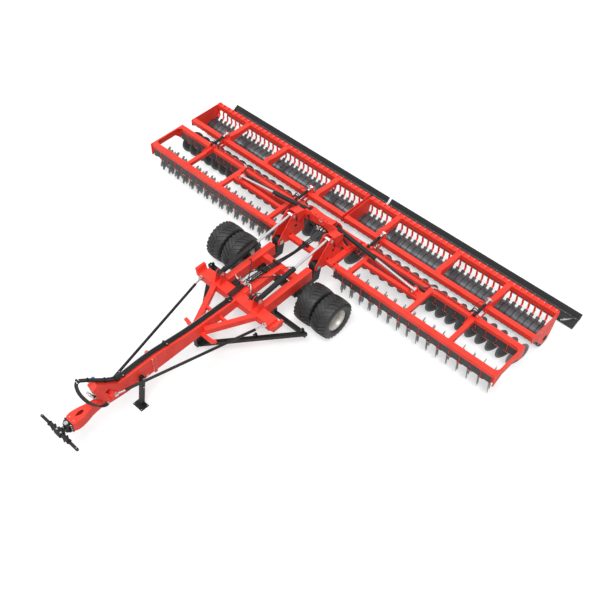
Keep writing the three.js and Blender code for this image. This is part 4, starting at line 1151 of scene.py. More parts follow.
# %% Put the wing fittings on
wing_forms = {
    "red_powder_coat": wing_plates + wing_welds + depth_plates + pipes_red,
    "black_satin_coat": pipes_black, "zinc_plated_steel": wing_pins + fittings,
    "hydraulic_hose_rubber": hoses}
for name, sign in SIDES:
    kit = Kit(f"{name}_wing_fittings", f"{name}_wing")
    add_all(kit, wing_forms, sign)
    kit.build()
    kit = Kit(f"{name}_depth_hoses", None)
    add_all(kit, {"hydraulic_hose_rubber": port_hoses}, sign)
    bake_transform(kit.build()[0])
    kit = Kit(f"{name}_depth_ports", f"{name}_depth_barrels")
    add_all(kit, {"zinc_plated_steel": port_nuts}, sign)
    kit.build()
print("pieces so far", totals)

# %% [markdown]
# ## Roller frame fittings
# Every ring gap has its own scraper: a sprung red arm bolted under a saddle on the rear beam,
# with a hard-faced blade at the drum. Under the front tube hang pairs of spring tines that level
# the soil before the roller.

# %% Scrapers and tines
saddle = joined([
    slab("x", -0.032, 0.032, [
        (2.574, 0.9405), (2.592, 0.9400), (2.606, 0.960), (2.630, 0.969), (2.668, 0.969),
        (2.692, 0.960), (2.706, 0.940), (2.7205, 0.9405), (2.7205, 0.9505), (2.712, 0.9505),
        (2.700, 0.970), (2.672, 0.980), (2.626, 0.980), (2.598, 0.970), (2.584, 0.9505),
        (2.574, 0.9505)], 0.0015),
    slab("y", 2.590, 2.708, [(-0.026, 0.939), (0.026, 0.939), (0.026, 0.955), (0.014, 0.972),
                             (-0.014, 0.972), (-0.026, 0.955)], 0.003)])
scraper_arm = strip([(0, 2.66, 0.800), (0, 2.625, 0.745), (0, 2.600, 0.66), (0, 2.612, 0.59),
                     (0, 2.580, 0.525), (0, 2.535, 0.505)], 0.050, 0.020)
scraper_blade = slab("x", -0.050, 0.050, [
    (2.548, 0.528), (2.536, 0.536), (2.478, 0.482), (2.476, 0.472), (2.484, 0.474)], 0.001)
scraper_blade.wear_and_shade[:] = [1.0 if point[1] < 2.50 else 0.2 for point in scraper_blade.points]
tine = joined([*[
    pipe([(dx, 1.640, 0.802), (dx, 1.650, 0.775), (dx, 1.664, 0.735), (dx, 1.658, 0.700),
          (dx, 1.645, 0.675)], 0.009, 8, 3) for dx in (-0.028, 0.028)],
    block((-0.045, 1.615, 0.772), (0.045, 1.670, 0.802), 0.004)])

# %% [markdown]
# The roller turns in a flanged bearing bolted to each end plate. The tines stand between the
# scrapers, except where a cross member or a hinge is in the way.

# %% Put the roller fittings on
ROLLER_MEMBERS = (1.100, 3.050, 4.600)
BOARD_HINGES = (0.700, 3.000, 5.700)
tine_places = [x for x in SCRAPER_PLACES if all(abs(x - p) > 0.07 for p in ROLLER_MEMBERS)]
bearing = joined([
    turned([(0, 5.978), (0.072, 5.978), (0.076, 5.986), (0.076, 5.994), (0.060, 5.998),
            (0.034, 5.999), (0, 5.999)], 24, ROLLER_AXIS),
    turned([(0.0435, 5.930), (0.090, 5.930), (0.090, 5.963), (0.0435, 5.963), (0.0435, 5.930)],
           24, ROLLER_AXIS)])
bearing_bolts = [
    bolt((5.984, ROLLER_Y + 0.060 * math.cos(t), ROLLER_RADIUS + 0.060 * math.sin(t)), (1, 0, 0),
         0.019, 0.012) for t in [math.pi * (0.25 + 0.5 * i) for i in range(4)]]
roller_forms = {
    "red_powder_coat": [form.moved(x) for form in (saddle, scraper_arm) for x in SCRAPER_PLACES],
    "shaded_disc_steel": [scraper_blade.moved(x) for x in SCRAPER_PLACES],
    "forged_arm_steel": [tine.moved(x - RING_PITCH / 2) for x in tine_places],
    "zinc_plated_steel": [
        *[bolt((x, 2.649, 0.980), (0, 0, 1), 0.019, 0.012) for x in SCRAPER_PLACES],
        *[pin_across((x, *DEPTH_EYE), 0.075, 0.018, 0.032) for x in DEPTH_PLACES],
        *[pin_across((x, 2.690, 0.760), 0.085, 0.014, 0.024) for x in BOARD_HINGES],
        *bearing_bolts, bolt((5.980, 1.95, 0.80), (1, 0, 0), 0.030, 0.014)],
    "black_satin_coat": [bearing]}
for name, sign in SIDES:
    kit = Kit(f"{name}_roller_fittings", f"{name}_roller_frame")
    add_all(kit, roller_forms, sign)
    kit.build()
print("pieces so far", totals)

# %% [markdown]
# ## Drag boards
# A drag board is a bent spring-steel sheet that smooths the crumbs behind the roller. A bright
# wear strip is riveted along it, and flat parallel links guide its ends.

# %% Board fittings
wear_strip = slab("x", 0.045, 6.235, [
    (3.450, 0.1347), (3.500, 0.1399), (3.500, 0.1429), (3.450, 0.1377)], 0.0008)
rivets = [bolt((0.15 + 0.30 * i, 3.468, 0.1395), (0, -0.1, 1), 0.016, 0.006, washer=False)
          for i in range(21)]
links = [strip([(x, 2.700, 0.700 + dz), (x, 3.000, 0.430 + dz), (x, 3.400, 0.150 + dz * 0.5)],
               0.010, 0.030) for x, dz in ((6.060, 0.0), (6.120, 0.07), (0.100, 0.0))]
stays = [
    slab("x", 6.084, 6.096, [(3.385, 0.125), (3.430, 0.130), (3.415, 0.300), (3.390, 0.300)], 0.002),
    slab("x", 6.052, 6.128, [(3.396, 0.290), (3.410, 0.290), (3.410, 0.310), (3.396, 0.310)], 0.002)]
for name, sign in SIDES:
    kit = Kit(f"{name}_board_fittings", f"{name}_board")
    add_all(kit, {"galvanised_strip": [wear_strip], "zinc_plated_steel": rivets + links,
                  "black_satin_coat": stays}, sign)
    kit.build()
print("pieces so far", totals)

# %% [markdown]
# ## Drawbar fittings
# All hydraulic lines of the machine come together along the top of the drawbar. They lie side by
# side in clamps, then climb the arm that holds the loop clear of the hitch.

# %% Hose bundle and arm
DRAWBAR_TOP = [(-2.50, 1.010), (-3.90, 1.060), (-5.07, 1.206), (-5.94, 1.190)]
BUNDLE_STEP, BUNDLE_ASIDE, BUNDLE_RADIUS = 0.022, -0.012, 0.0125
BUNDLE_OFFSETS = [BUNDLE_STEP * (i - 2.5) + BUNDLE_ASIDE for i in range(6)]
chassis = Kit("chassis_fittings", "chassis")
for x in BUNDLE_OFFSETS:
    chassis.add("hydraulic_hose_rubber", pipe(
        [(x, y, z + 0.026 + 0.006 * math.cos(40 * x)) for y, z in DRAWBAR_TOP], BUNDLE_RADIUS, 8, 6))
chassis.add("hydraulic_hose_rubber", *[
    pipe([(x * 0.85, y, z + 0.050) for y, z in DRAWBAR_TOP], BUNDLE_RADIUS, 8, 6)
    for x in BUNDLE_OFFSETS[1:5:2]])
chassis.add("zinc_plated_steel", pipe([(-0.094, y, z + 0.012) for y, z in DRAWBAR_TOP], 0.006, 8, 6))


def drawbar_top(y):
    """The height of the drawbar's top face, y along it."""
    for (y0, z0), (y1, z1) in zip(DRAWBAR_TOP, DRAWBAR_TOP[1:]):
        if y1 <= y <= y0:
            return z0 + (z1 - z0) * (y0 - y) / (y0 - y1)
    return DRAWBAR_TOP[-1][1]


for y in (-2.62, -4.60, -5.88):
    z = drawbar_top(y)
    chassis.add("black_satin_coat", block((-0.100, y - 0.024, z + 0.002),
                                          (0.070, y + 0.024, z + 0.072), 0.006))
    chassis.add("zinc_plated_steel", *[bolt((x, y, z + 0.072), (0, 0, 1), 0.020, 0.012)
                                       for x in (-0.085, 0.055)])

# %% [markdown]
# The arm is one bent tube. The bundle spreads up its front under three collars and ends in a
# block at the tip, where the hoses of the loop begin. A blue cap stands by for the spare coupling.

# %% Hose arm
ARM_ROUTE = [(0, -5.94, 1.232), (0, -6.10, 1.290), (0, -6.35, 1.500), (0, -6.65, 1.800),
             (0, -6.93, 2.050)]
arm_path = smooth_path(ARM_ROUTE, 6)
chassis.add("black_satin_coat", sweep(arm_path, circle(0, -0.030, 0.022, 12)), slab(
    "x", -0.05, 0.05, [(-6.060, 1.175), (-5.950, 1.175), (-5.990, 1.30), (-6.060, 1.32)], 0.006))
for i, x in enumerate(BUNDLE_OFFSETS):
    last = len(arm_path) - (1 if 0 < i < 5 else 7)
    gather = [Vector((x * (1 - 0.55 * k / len(arm_path)), p.y, p.z + 0.012 + 0.010 * (i % 2)))
              for k, p in enumerate(arm_path[:last])]
    chassis.add("hydraulic_hose_rubber", sweep(gather, circle(0, 0, BUNDLE_RADIUS, 8)))
across = Vector((1, 0, 0))
for k in (4, 11, 19):
    ahead = (arm_path[k + 1] - arm_path[k - 1]).normalized()
    wide = 0.078 - 0.0015 * k
    collar = block((-0.018, -0.040, -wide), (0.018, 0.038, wide), 0.006)
    turn = Matrix((ahead, across.cross(ahead), across)).transposed().to_4x4()
    chassis.add("black_satin_coat", collar.placed(Matrix.Translation(arm_path[k]) @ turn))
tip = Vector(ARM_ROUTE[-1])
chassis.add("black_satin_coat", block((-0.060, tip.y - 0.028, tip.z - 0.045),
                                      (0.060, tip.y + 0.020, tip.z + 0.012), 0.008))
chassis.add("zinc_plated_steel", *[
    bar((x, tip.y - 0.02, tip.z - 0.045), (0, -0.3, 1), 0.04, 0.016) for x in (-0.035, 0.0, 0.035)])
chassis.add("blue_cap_plastic", turned([
    (0, 0), (0.040, 0), (0.044, 0.006), (0.044, 0.070), (0.036, 0.084), (0, 0.084)], 20).aimed(
        (-0.085, -6.530, 1.580), (-0.35, 0.1, 1)))
chassis.add("black_satin_coat", block((-0.115, -6.570, 1.545), (0.00, -6.490, 1.600), 0.006))

# %% [markdown]
# The drawbar is bolted together at a flange half way. Tension rods run from its ears to the
# outer ends of the cross beam, each with a turned clevis and a threaded end.

# %% Flange bolts and tension rods
CLEVIS_LENGTH = 0.26
for side in (-1, 1):
    for y, way in ((-5.110, -1), (-5.030, 1)):
        chassis.add("zinc_plated_steel", *[
            bolt((side * 0.130, y, 0.735 + 0.088 * i), (0, way, 0), 0.026, 0.016) for i in range(6)])
    front, rear = Vector((side * 0.158, -6.262, 1.000)), Vector((side * 1.120, -2.492, 0.930))
    ahead = (rear - front).normalized()
    reach = (rear - front).length
    chassis.add("black_satin_coat", turned([
        (0, CLEVIS_LENGTH), (0.030, CLEVIS_LENGTH), (0.035, CLEVIS_LENGTH + 0.01),
        (0.035, reach - CLEVIS_LENGTH - 0.01), (0.030, reach - CLEVIS_LENGTH),
        (0, reach - CLEVIS_LENGTH)], 20).aimed(front, ahead))
    for start, end in ((0.055, 0.28), (reach - 0.28, reach - 0.055)):
        chassis.add("zinc_plated_steel", bar(front, ahead, end - start, 0.023, 0.003, 16, start))
    for at, way in ((front, ahead), (rear, -ahead)):
        fork = [block((0.0, s * 0.034 - 0.009, -0.034), (0.10, s * 0.034 + 0.009, 0.034), 0.004)
                for s in (-1, 1)]
        fork.append(block((0.080, -0.040, -0.034), (0.115, 0.040, 0.034), 0.005))
        half = Vector((0, 0, 0.055))
        chassis.add("zinc_plated_steel", *[form.aimed(at - way * 0.03, way) for form in fork],
                    pin(at - half, at + half, 0.016, 0.026))
    corners = sorted((side * 1.070, side * 1.170))
    heel = [(side * 1.080, -2.500)] if side > 0 else []
    ear = [(corners[0], -2.441), *heel, *circle(side * 1.120, -2.500, 0.040, 8, 180, 360),
           (corners[1], -2.441)]
    chassis.add("red_powder_coat", slab("z", 0.917, 0.943, ear, 0.003))

# %% [markdown]
# Two hooks stand out from the drawbar to hold hoses and chains, and a short tie braces it to the
# lower frame behind them. The turnbuckle hangs from the drawbar's head over the tongue.

# %% Hooks, ties and turnbuckle
HOOK_REACH = {-1: 0.480, 1: 0.600}
HOOK_ROOT, TIE_ROOT, TIE_TIP = 0.108, 0.115, 0.455
for side in (-1, 1):
    far = HOOK_REACH[side]
    chassis.add("red_powder_coat", slab("y", -3.650, -3.570, [(side * x, z) for x, z in (
        (HOOK_ROOT, 0.775), (far - 0.170, 0.790), (far - 0.080, 0.850), (far, 0.860), (far, 0.790),
        (far - 0.060, 0.770), (far - 0.120, 0.690), (HOOK_ROOT, 0.690))], 0.006))
    low_x, high_x = sorted((side * TIE_ROOT, side * TIE_TIP))
    chassis.add("red_powder_coat", block((low_x, -3.055, 0.800), (high_x, -2.985, 0.905), 0.005))
turn_a, turn_b = Vector((0, -6.750, 1.350)), Vector((0, -6.640, 1.135))
ahead = (turn_b - turn_a).normalized()
chassis.add("ground_chrome", bar(turn_a, ahead, 0.24, 0.020, sides=16))
chassis.add("black_satin_coat", bar(turn_a, ahead, 0.12, 0.040, 0.006, 18, 0.060))
turnbuckle_eye = turned([(0, -0.036), (0.036, -0.036), (0.040, -0.030), (0.040, 0.030),
                         (0.036, 0.036), (0, 0.036)], 18)
chassis.add("zinc_plated_steel", *[turnbuckle_eye.moved(*at) for at in (turn_a, turn_b)],
            pin_across(turn_a, 0.095, 0.018, 0.030),
            pin_across((0, -6.480, 0.860), 0.135, 0.040, 0.058),
            *[pin_across((0, y, z), 0.124, 0.014, 0.024)
              for y, z in ((-5.58, 0.76), (-5.30, 0.76), (-5.78, 0.80))])

# %% [markdown]
# Behind the cross beam sits the valve cluster that feeds the lift cylinders. From there the
# hoses run back along the middle beam to the lift pivot.

# %% Valves
chassis.add("red_powder_coat", block((-0.40, -2.145, 0.955), (0.08, -1.90, 0.975), 0.004),
            block((-0.215, -2.02, 0.975), (-0.145, -1.94, 1.035), 0.005))
chassis.add("black_satin_coat", block((-0.40, -2.14, 0.905), (-0.22, -1.98, 1.035), 0.008),
            block((0.255, -2.18, 0.955), (0.345, -2.10, 1.050), 0.006),
            block((0.255, -1.27, 0.960), (0.365, -1.18, 1.050), 0.006))
cluster = [
    (-0.33, -1.97, 1.04, (-1, 0.3, 0.25), 0.022, 0.10), (-0.29, -1.95, 1.05, (0.2, 0.1, 1), 0.020, 0.07),
    (-0.24, -1.98, 1.04, (0, 1, 0.2), 0.022, 0.09), (-0.13, -1.95, 1.03, (0.4, 0.2, 1), 0.026, 0.08),
    (-0.09, -1.93, 1.04, (1, 0.1, 0.3), 0.022, 0.09), (-0.05, -1.98, 1.03, (0, -0.3, 1), 0.020, 0.06),
    (-0.11, -1.88, 1.03, (0.1, 1, 0.3), 0.024, 0.09), (0.30, -2.10, 1.01, (0.1, 1, 0.1), 0.020, 0.06),
    (0.27, -1.24, 1.02, (-1, -0.2, 0.1), 0.020, 0.06), (-0.02, -1.93, 1.03, (0.8, -0.5, 0.5), 0.020, 0.08)]
for x, y, z, way, radius, length in cluster:
    chassis.add("zinc_plated_steel", bar((x, y, z), way, length, radius),
                bar((x, y, z), way, length * 1.5, radius * 0.62, sides=12))
chassis.add("zinc_plated_steel", pipe([(-0.04, -1.93, 1.08), (0.06, -1.93, 1.10), (0.13, -1.98, 1.05),
                                       (0.16, -2.04, 0.96)], 0.017, 10),
            block((-0.15, -2.00, 1.00), (-0.05, -1.90, 1.05), 0.008))

# %% [markdown]
# Hoses join the valves to the lift cylinders. Six more cross the lift pivot to the arch: they are one
# piece that rides no body.

# %% Hoses of the chassis and over the lift pivot
HOSES = [
    [(-0.62, -1.30, 1.02), (-0.48, -1.36, 1.16), (-0.30, -1.56, 1.15), (-0.13, -1.80, 1.13),
     (-0.11, -1.93, 1.06)],
    [(-0.12, -1.86, 1.06), (0.00, -1.72, 1.10), (0.12, -1.50, 1.08), (0.26, -1.26, 1.03)],
    [(-0.24, -1.92, 1.05), (-0.26, -1.70, 1.08), (-0.20, -1.45, 1.07), (-0.12, -1.28, 1.02)],
    [(0.30, -2.05, 1.01), (0.38, -2.02, 1.06), (0.47, -2.10, 1.12), (0.52, -2.17, 1.16)]]
chassis.add("hydraulic_hose_rubber", *[pipe(route, 0.0135, 10, 6) for route in HOSES])
lift_hoses = Kit("lift_pivot_hoses", None)
for i in range(6):
    x = (i - 2.5) * 0.027
    lift = 0.016 * (i % 2)
    lift_hoses.add("hydraulic_hose_rubber", pipe([(across, y, z + lift) for across, y, z in (
        (x * 0.9 - 0.10, -2.50, 1.040), (x - 0.12, -2.20, 1.030), (x - 0.14, -1.90, 1.000),
        (x - 0.13, -1.45, 0.978), (x - 0.09, -1.00, 0.975), (x * 0.7 - 0.03, -0.60, 0.978),
        (x * 0.6, -0.250, 0.975), (x * 0.8 + 0.01, -0.02, 1.000), (x + 0.04, 0.20, 1.030),
        (x + 0.08, 0.42, 1.110), (x + 0.10, 0.57, 1.195))], 0.0130, 8, 6))
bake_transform(lift_hoses.build()[0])
for x, y, z in ((-0.13, -1.285, 0.985), (-0.10, -0.88, 0.980)):
    chassis.add("black_satin_coat", block((x - 0.095, y - 0.025, z - 0.040),
                                          (x + 0.095, y + 0.025, z + 0.040), 0.006))

# %% [markdown]
# The side beams carry the feet of the lift cylinders and the pivot of the whole working unit.
# Under them the axle legs are bolted on, each with a flange for its wheels' hub.

# %% Lift pins and axle fittings
LIFT_PIVOT = (-0.250, 0.950)
for side in (-1, 1):
    x = side * LIFT_BASE[0]
    chassis.add("zinc_plated_steel", *screwed_pin((x, *LIFT_BASE[1:]), 0.104, 0.034, 0.050, 0.034, 0.014),
                *screwed_pin((x, *LIFT_PIVOT), 0.152, 0.039, 0.060, 0.040, 0.016))
    chassis.add("red_powder_coat", *[weld_bead((x + dx, -2.135, 0.944), (x + dx, -0.44, 0.944), 0.005)
                                     for dx in (-0.0895, 0.0895)])
    for y in (-1.02, -0.86):
        chassis.add("zinc_plated_steel", *[
            bolt((x + dx, y, 0.450), (0, 0, -1), 0.034, 0.020) for dx in (-0.05, 0.05)])
    leg_plate = slab("x", *sorted((side * 0.735, side * 0.750)), [
        (-1.080, 0.440), (-0.780, 0.440), (-0.560, 0.560), (-0.640, 0.625), (-1.080, 0.625)], 0.003)
    hub_flange = turned(rounded(0.020, 0.125, 0.004, side * 0.955 - 0.010), 28,
                        (0, AXLE_Y, TYRE_RADIUS))
    chassis.add("black_satin_coat", leg_plate, hub_flange)
    chassis.add("zinc_plated_steel", *[
        bolt((side * 0.965, AXLE_Y + 0.098 * math.cos(t), TYRE_RADIUS + 0.098 * math.sin(t)),
             (side, 0, 0), 0.026, 0.014) for t in [2 * math.pi * i / 8 for i in range(8)]])

# %% [markdown]
# The lower frame has lugs along its rails, where the axle's struts are pinned, and a plate that
# closes its front tip.

# %% Lower frame lugs
LUG_FOOT_Z, LUG_PIN_Z = 0.400, 0.465
for side in (-1, 1):
    for y, out in ((-1.710, 1.60), (-2.60, 1.60 + (-2.60 + 1.72) * 0.82)):
        at = side * out
        ears = [slab("y", y + dy - 0.008, y + dy + 0.008, [
            (at - 0.045, LUG_FOOT_Z), (at - 0.045, LUG_FOOT_Z + 0.055),
            *circle(at, LUG_PIN_Z, 0.040, 6, 160, 20), (at + 0.045, LUG_FOOT_Z)], 0.002)
            for dy in (-0.035, 0.035)]
        chassis.add("black_satin_coat", *ears,
                    bar((at, y - 0.030, LUG_PIN_Z), (0, 1, 0), 0.060, 0.034, 0.004, 16))
        chassis.add("zinc_plated_steel", pin((at, y - 0.052, LUG_PIN_Z), (at, y + 0.052, LUG_PIN_Z),
                                             0.011, 0.018))
chassis.add("black_satin_coat", slab("z", LUG_FOOT_Z, LUG_FOOT_Z + 0.012, [
    (-0.16, -3.74), (0.16, -3.74), (0.26, -3.40), (-0.26, -3.40)], 0.003))
chassis.build("drawbar_hoses", "hose_arm", "left_tension_rod", "right_tension_rod")

# %% [markdown]
# ## Tongue, hitch and stand
# The tongue is a box welded from curved side plates between a top and a bottom plate. A black
# yoke is bolted to its front, and carries the turned cross shaft that hangs in the tractor's
# lower links.

# %% Tongue
TONGUE_LOW, TONGUE_HIGH, TONGUE_PLATE = 0.760, 1.040, 0.018
side_curve = [Vector((x, y, 0)) for x, y in (
    (0.070, -6.640), (0.096, -6.860), (0.138, -7.020), (0.164, -7.180), (0.160, -7.300),
    (0.122, -7.395))]
half = [(p.x, p.y) for p in smooth_path(side_curve, 4)]
outline = half + [(-x, y) for x, y in half[::-1]]
inner = [(x * 0.86, y) for x, y in half]
inner[0], inner[-1] = (inner[0][0], -6.66), (inner[-1][0], -7.375)
opening = inner + [(-x, y) for x, y in inner[::-1]]
pentagon = [(-0.052, -7.100), (-0.030, -7.000), (0.030, -7.000), (0.052, -7.100), (0.0, -7.235)]
rounds = [circle(dx, -7.318, 0.019, 12) for dx in (-0.072, 0.072)]
floor_top, roof_bottom = TONGUE_LOW + TONGUE_PLATE, TONGUE_HIGH - TONGUE_PLATE
tongue = Kit("tongue_box", "tongue")
tongue.add(
    "red_powder_coat",
    slab("z", roof_bottom, TONGUE_HIGH, outline, 0.004, [pentagon, *rounds]),
    slab("z", TONGUE_LOW, floor_top, outline, 0.004, [pentagon]),
    slab("z", floor_top, roof_bottom, outline, 0.0, [opening]),
    slab("x", -0.070, 0.070, [
        (-6.650, TONGUE_LOW), (-6.650, TONGUE_HIGH), (-6.560, 1.010), (-6.470, 0.975),
        *circle(-6.480, 0.860, 0.090, 8, 60, -100), (-6.560, TONGUE_LOW)], 0.006),
    *[weld_bead((x, -6.650, 0.78), (x, -6.650, 1.03)) for x in (-0.071, 0.071)])
tongue.add("zinc_plated_steel", *[bar((dx, -7.318, 0.995), (0, 0, 1), 0.050, 0.015, sides=12)
                                  for dx in (-0.072, 0.072)])

# %% [markdown]
# The yoke is bolted to the front plate of the tongue and holds the upright pin of the hitch
# between two rounded ears.

# %% Yoke at the front of the tongue
yoke = [(-0.100, -7.424), (-0.100, -7.475), *circle(0, -7.470, 0.075, 10, 200, 340),
        (0.100, -7.475), (0.100, -7.424)]
tongue.add("black_satin_coat", block((-0.135, -7.424, 0.752), (0.135, -7.396, 1.048), 0.005),
           *[slab("z", z, z + 0.050, yoke, 0.005) for z in (0.765, 0.985)])
tongue.add("zinc_plated_steel", *[bolt((x, -7.424, z), (0, -1, 0), 0.030, 0.018)
                                  for x in (-0.113, 0.113) for z in (0.790, 0.860, 0.940, 1.010)],
           pin((0, -7.470, 0.748), (0, -7.470, 1.052), 0.034, 0.052))
tongue.build("tongue")

# %% [markdown]
# The cross shaft is turned in steps, with a groove near each end for a linch pin and a collar
# that keeps the lower link in place. Its block turns on the upright pin of the tongue's yoke.

# %% Hitch cross shaft
hitch = Kit("hitch_shaft", "hitch")
SHAFT_HALF = [(0.052, 0.130), (0.052, 0.325), (0.0365, 0.330), (0.0365, 0.383), (0.030, 0.388),
              (0.030, 0.395), (0.0365, 0.400), (0.0365, 0.645), (0.030, 0.655), (0, 0.655)]
shaft = turned([*[(radius, -x) for radius, x in SHAFT_HALF[::-1]], *SHAFT_HALF], 24)
SHAFT_Y, SHAFT_Z = -7.675, 0.900
cheek = [(-7.735, 0.800), (-7.640, 0.800), (-7.600, 0.860), (-7.600, 0.945), (-7.735, 0.945)]
hitch.add(
    "black_satin_coat", shaft.moved(0, SHAFT_Y, SHAFT_Z),
    slab("x", -0.105, 0.105, [
        (-7.752, 0.850), (-7.720, 0.832), (-7.630, 0.832), (-7.590, 0.850), (-7.590, 0.950),
        (-7.630, 0.968), (-7.720, 0.968), (-7.752, 0.950)], 0.008),
    slab("x", -0.056, 0.056, [(-7.600, 0.856), (-7.500, 0.862), (-7.500, 0.938), (-7.600, 0.944)],
         0.006),
    bar((0, -7.470, 0.820), (0, 0, 1), 0.160, 0.062, 0.006, 24),
    *[slab("x", side * 0.215 - 0.012, side * 0.215 + 0.012, cheek, 0.004) for side in (-1, 1)],
    *[turned(rounded(0.022, 0.062, 0.004, side * 0.345 - 0.011), 24, (0, SHAFT_Y, SHAFT_Z))
      for side in (-1, 1)])
hitch.add(
    "zinc_plated_steel",
    *[pin((x, SHAFT_Y, SHAFT_Z - 0.050), (x, SHAFT_Y, SHAFT_Z + 0.050), 0.008, 0.013)
      for x in (-0.610, 0.610)],
    *[bolt((x, -7.676, 0.968), (0, 0, 1), 0.034, 0.018) for x in (-0.070, 0.070)],
    bar((0.0, -7.560, 0.948), (0, 0.1, 1), 0.03, 0.016))
hitch.build("hitch_crossbar")

# %% [markdown]
# The parking stand folds on a pin beside the drawbar and is locked by a second one. Its foot is a
# bolted plate.

# %% Stand
stand = Kit("stand_fittings", "stand")
stand.add("black_satin_coat", block((0.095, -5.720, 0.020), (0.235, -5.600, 0.032), 0.003),
          slab("x", 0.222, 0.232, [(-5.56, 0.79), (-5.44, 0.79), (-5.42, 0.93), (-5.54, 0.93)], 0.003))
stand.add("zinc_plated_steel", pin((0.116, -5.490, 0.880), (0.246, -5.490, 0.880), 0.028, 0.044),
          pin((0.118, -5.535, 0.620), (0.240, -5.535, 0.620), 0.012, 0.020),
          *[bolt((0.165 + dx, -5.675 + dy, 0.021), (0, 0, 1), 0.020, 0.010)
            for dx in (-0.13, 0.13) for dy in (-0.085, 0.085)])
stand.build()
print("pieces so far", totals)

# %% [markdown]
# ## Centre frame fittings
# Two towers carry the lift cylinders' pins and lean back on the fold arch. The arch is a box
# whose cover plate has four holes, and a valve cluster on its front feeds both fold cylinders.

# %% Towers and arch
centre = Kit("centre_fittings", "centre")
TILT = Matrix.Rotation(math.radians(-14), 4, "X")
tilted = Matrix.Translation((0, 0.505, 1.495)) @ TILT @ Matrix.Translation((0, -0.505, -1.495))


def painted_hole_shade(radius, depth, sides):
    """A thin disc painted black as the shade inside a hole, with its axis along X."""
    return turned([(0, -depth), (radius, -depth), (radius, depth), (0, depth)], sides)


for side in (-1, 1):
    x = side * LIFT_PIN[0]
    for hand in (-1, 1):
        face = x + hand * 0.101
        centre.add("red_powder_coat", slab("x", *sorted((face, face + hand * 0.020)), [
            (0.240, 1.560), (0.300, 1.575), (0.620, 1.490), (0.684, 1.470), (0.684, 1.300),
            (0.360, 1.200), (0.300, 1.330)], 0.003))
    centre.add("red_powder_coat",
               block((x - 0.118, 0.350, 1.485), (x + 0.118, 0.660, 1.500), 0.003).placed(tilted),
               slab("y", 0.620, 0.640, [(x - 0.100, 0.950), (x + 0.100, 0.950), (x + 0.100, 1.300),
                                        (x - 0.100, 1.300)], 0.003))
    at = (x, *LIFT_PIN[1:])
    centre.add("zinc_plated_steel", *screwed_pin(at, 0.150, 0.030, 0.052, 0.036, 0.016))
    # Thin black discs on the tower plates are painted shade for holes.
    centre.add("dark_opening", *[
        painted_hole_shade(0.046, 0.003, 6).moved(x + hand * 0.1235, 0.30, 1.16) for hand in (-1, 1)], *[
        painted_hole_shade(0.024, 0.002, 16).moved(x + hand * 0.1225, 0.10, 1.00) for hand in (-1, 1)])
    boss = turned([(0.036, 0), (0.062, 0), (0.066, 0.004), (0.066, 0.016), (0.036, 0.016),
                   (0.036, 0)], 24)
    centre.add("red_powder_coat", *[
        boss.aimed((x + hand * 0.1212, *LIFT_PIN[1:]), (hand, 0, 0)) for hand in (-1, 1)])
    foot_x, foot_z = side * FOLD_BASE[0], FOLD_BASE[2]
    centre.add("zinc_plated_steel", pin((foot_x, 0.662, foot_z), (foot_x, 0.888, foot_z),
                                        0.030, 0.046))
    centre.add("red_powder_coat", *[bar((foot_x, y, foot_z), (0, d, 0), 0.014, 0.085, 0.004, 28)
                                    for y, d in ((0.675, -1), (0.875, 1))])

# %% [markdown]
# The cover follows the top of the arch and has a row of four holes, drawn as thin black discs of painted
# shade. The valve cluster hangs under its front edge, and hoses leave it for the ports of the fold
# cylinders.

# %% Arch cover and its valves
cover_half = [(0.0, 1.446), (0.255, 1.466), (0.330, 1.492), (0.385, 1.504)]
cover = [(way * x, FOLD_BASE[1], z + 0.004) for way, x, z in (
    *[(-1, x, z) for x, z in cover_half[:0:-1]], *[(1, x, z) for x, z in cover_half])]
centre.add("red_powder_coat", strip(cover, 0.216, 0.012, level=(0, 1, 0), steps=3))
cover_hole_shade = turned([(0, 0), (0.017, 0), (0.017, 0.004), (0, 0.004)], 16)
# Four thin black discs on the cover are painted shade for its holes.
centre.add("dark_opening", *[
    cover_hole_shade.aimed((x, 0.715, z), (0, 0, 1))
    for x, z in ((-0.20, 1.471), (-0.07, 1.460), (0.07, 1.460), (0.20, 1.471))])
centre.add("red_powder_coat", block((0.035, 0.655, 1.300), (0.115, 0.676, 1.360), 0.004), *[
    weld_bead((side * 0.60, 0.674, 1.13), (side * 0.86, 0.674, 0.96)) for side in (-1, 1)])
centre.add("zinc_plated_steel", block((-0.055, 0.652, 1.390), (0.065, 0.672, 1.425), 0.005))
FITTING_WAYS = ((0, -1, 0.3), (0.2, -1, 0.5), (0.3, -0.6, 1), (1, -0.3, 0.4), (-1, -0.2, 0.4),
                (0, -0.4, 1), (0.2, -0.3, 1), (1, -0.1, 0.1))
centre_cluster = [((0.02 + 0.052 * (i % 4), 0.56 + 0.035 * (i // 4), 1.235 + 0.02 * (i % 2)), way)
                  for i, way in enumerate(FITTING_WAYS)]
centre.add("black_satin_coat", block((-0.01, 0.575, 1.175), (0.215, 0.675, 1.245), 0.006))
for at, way in centre_cluster:
    centre.add("zinc_plated_steel", bar(at, way, 0.055, 0.021), bar(at, way, 0.085, 0.013, sides=12))
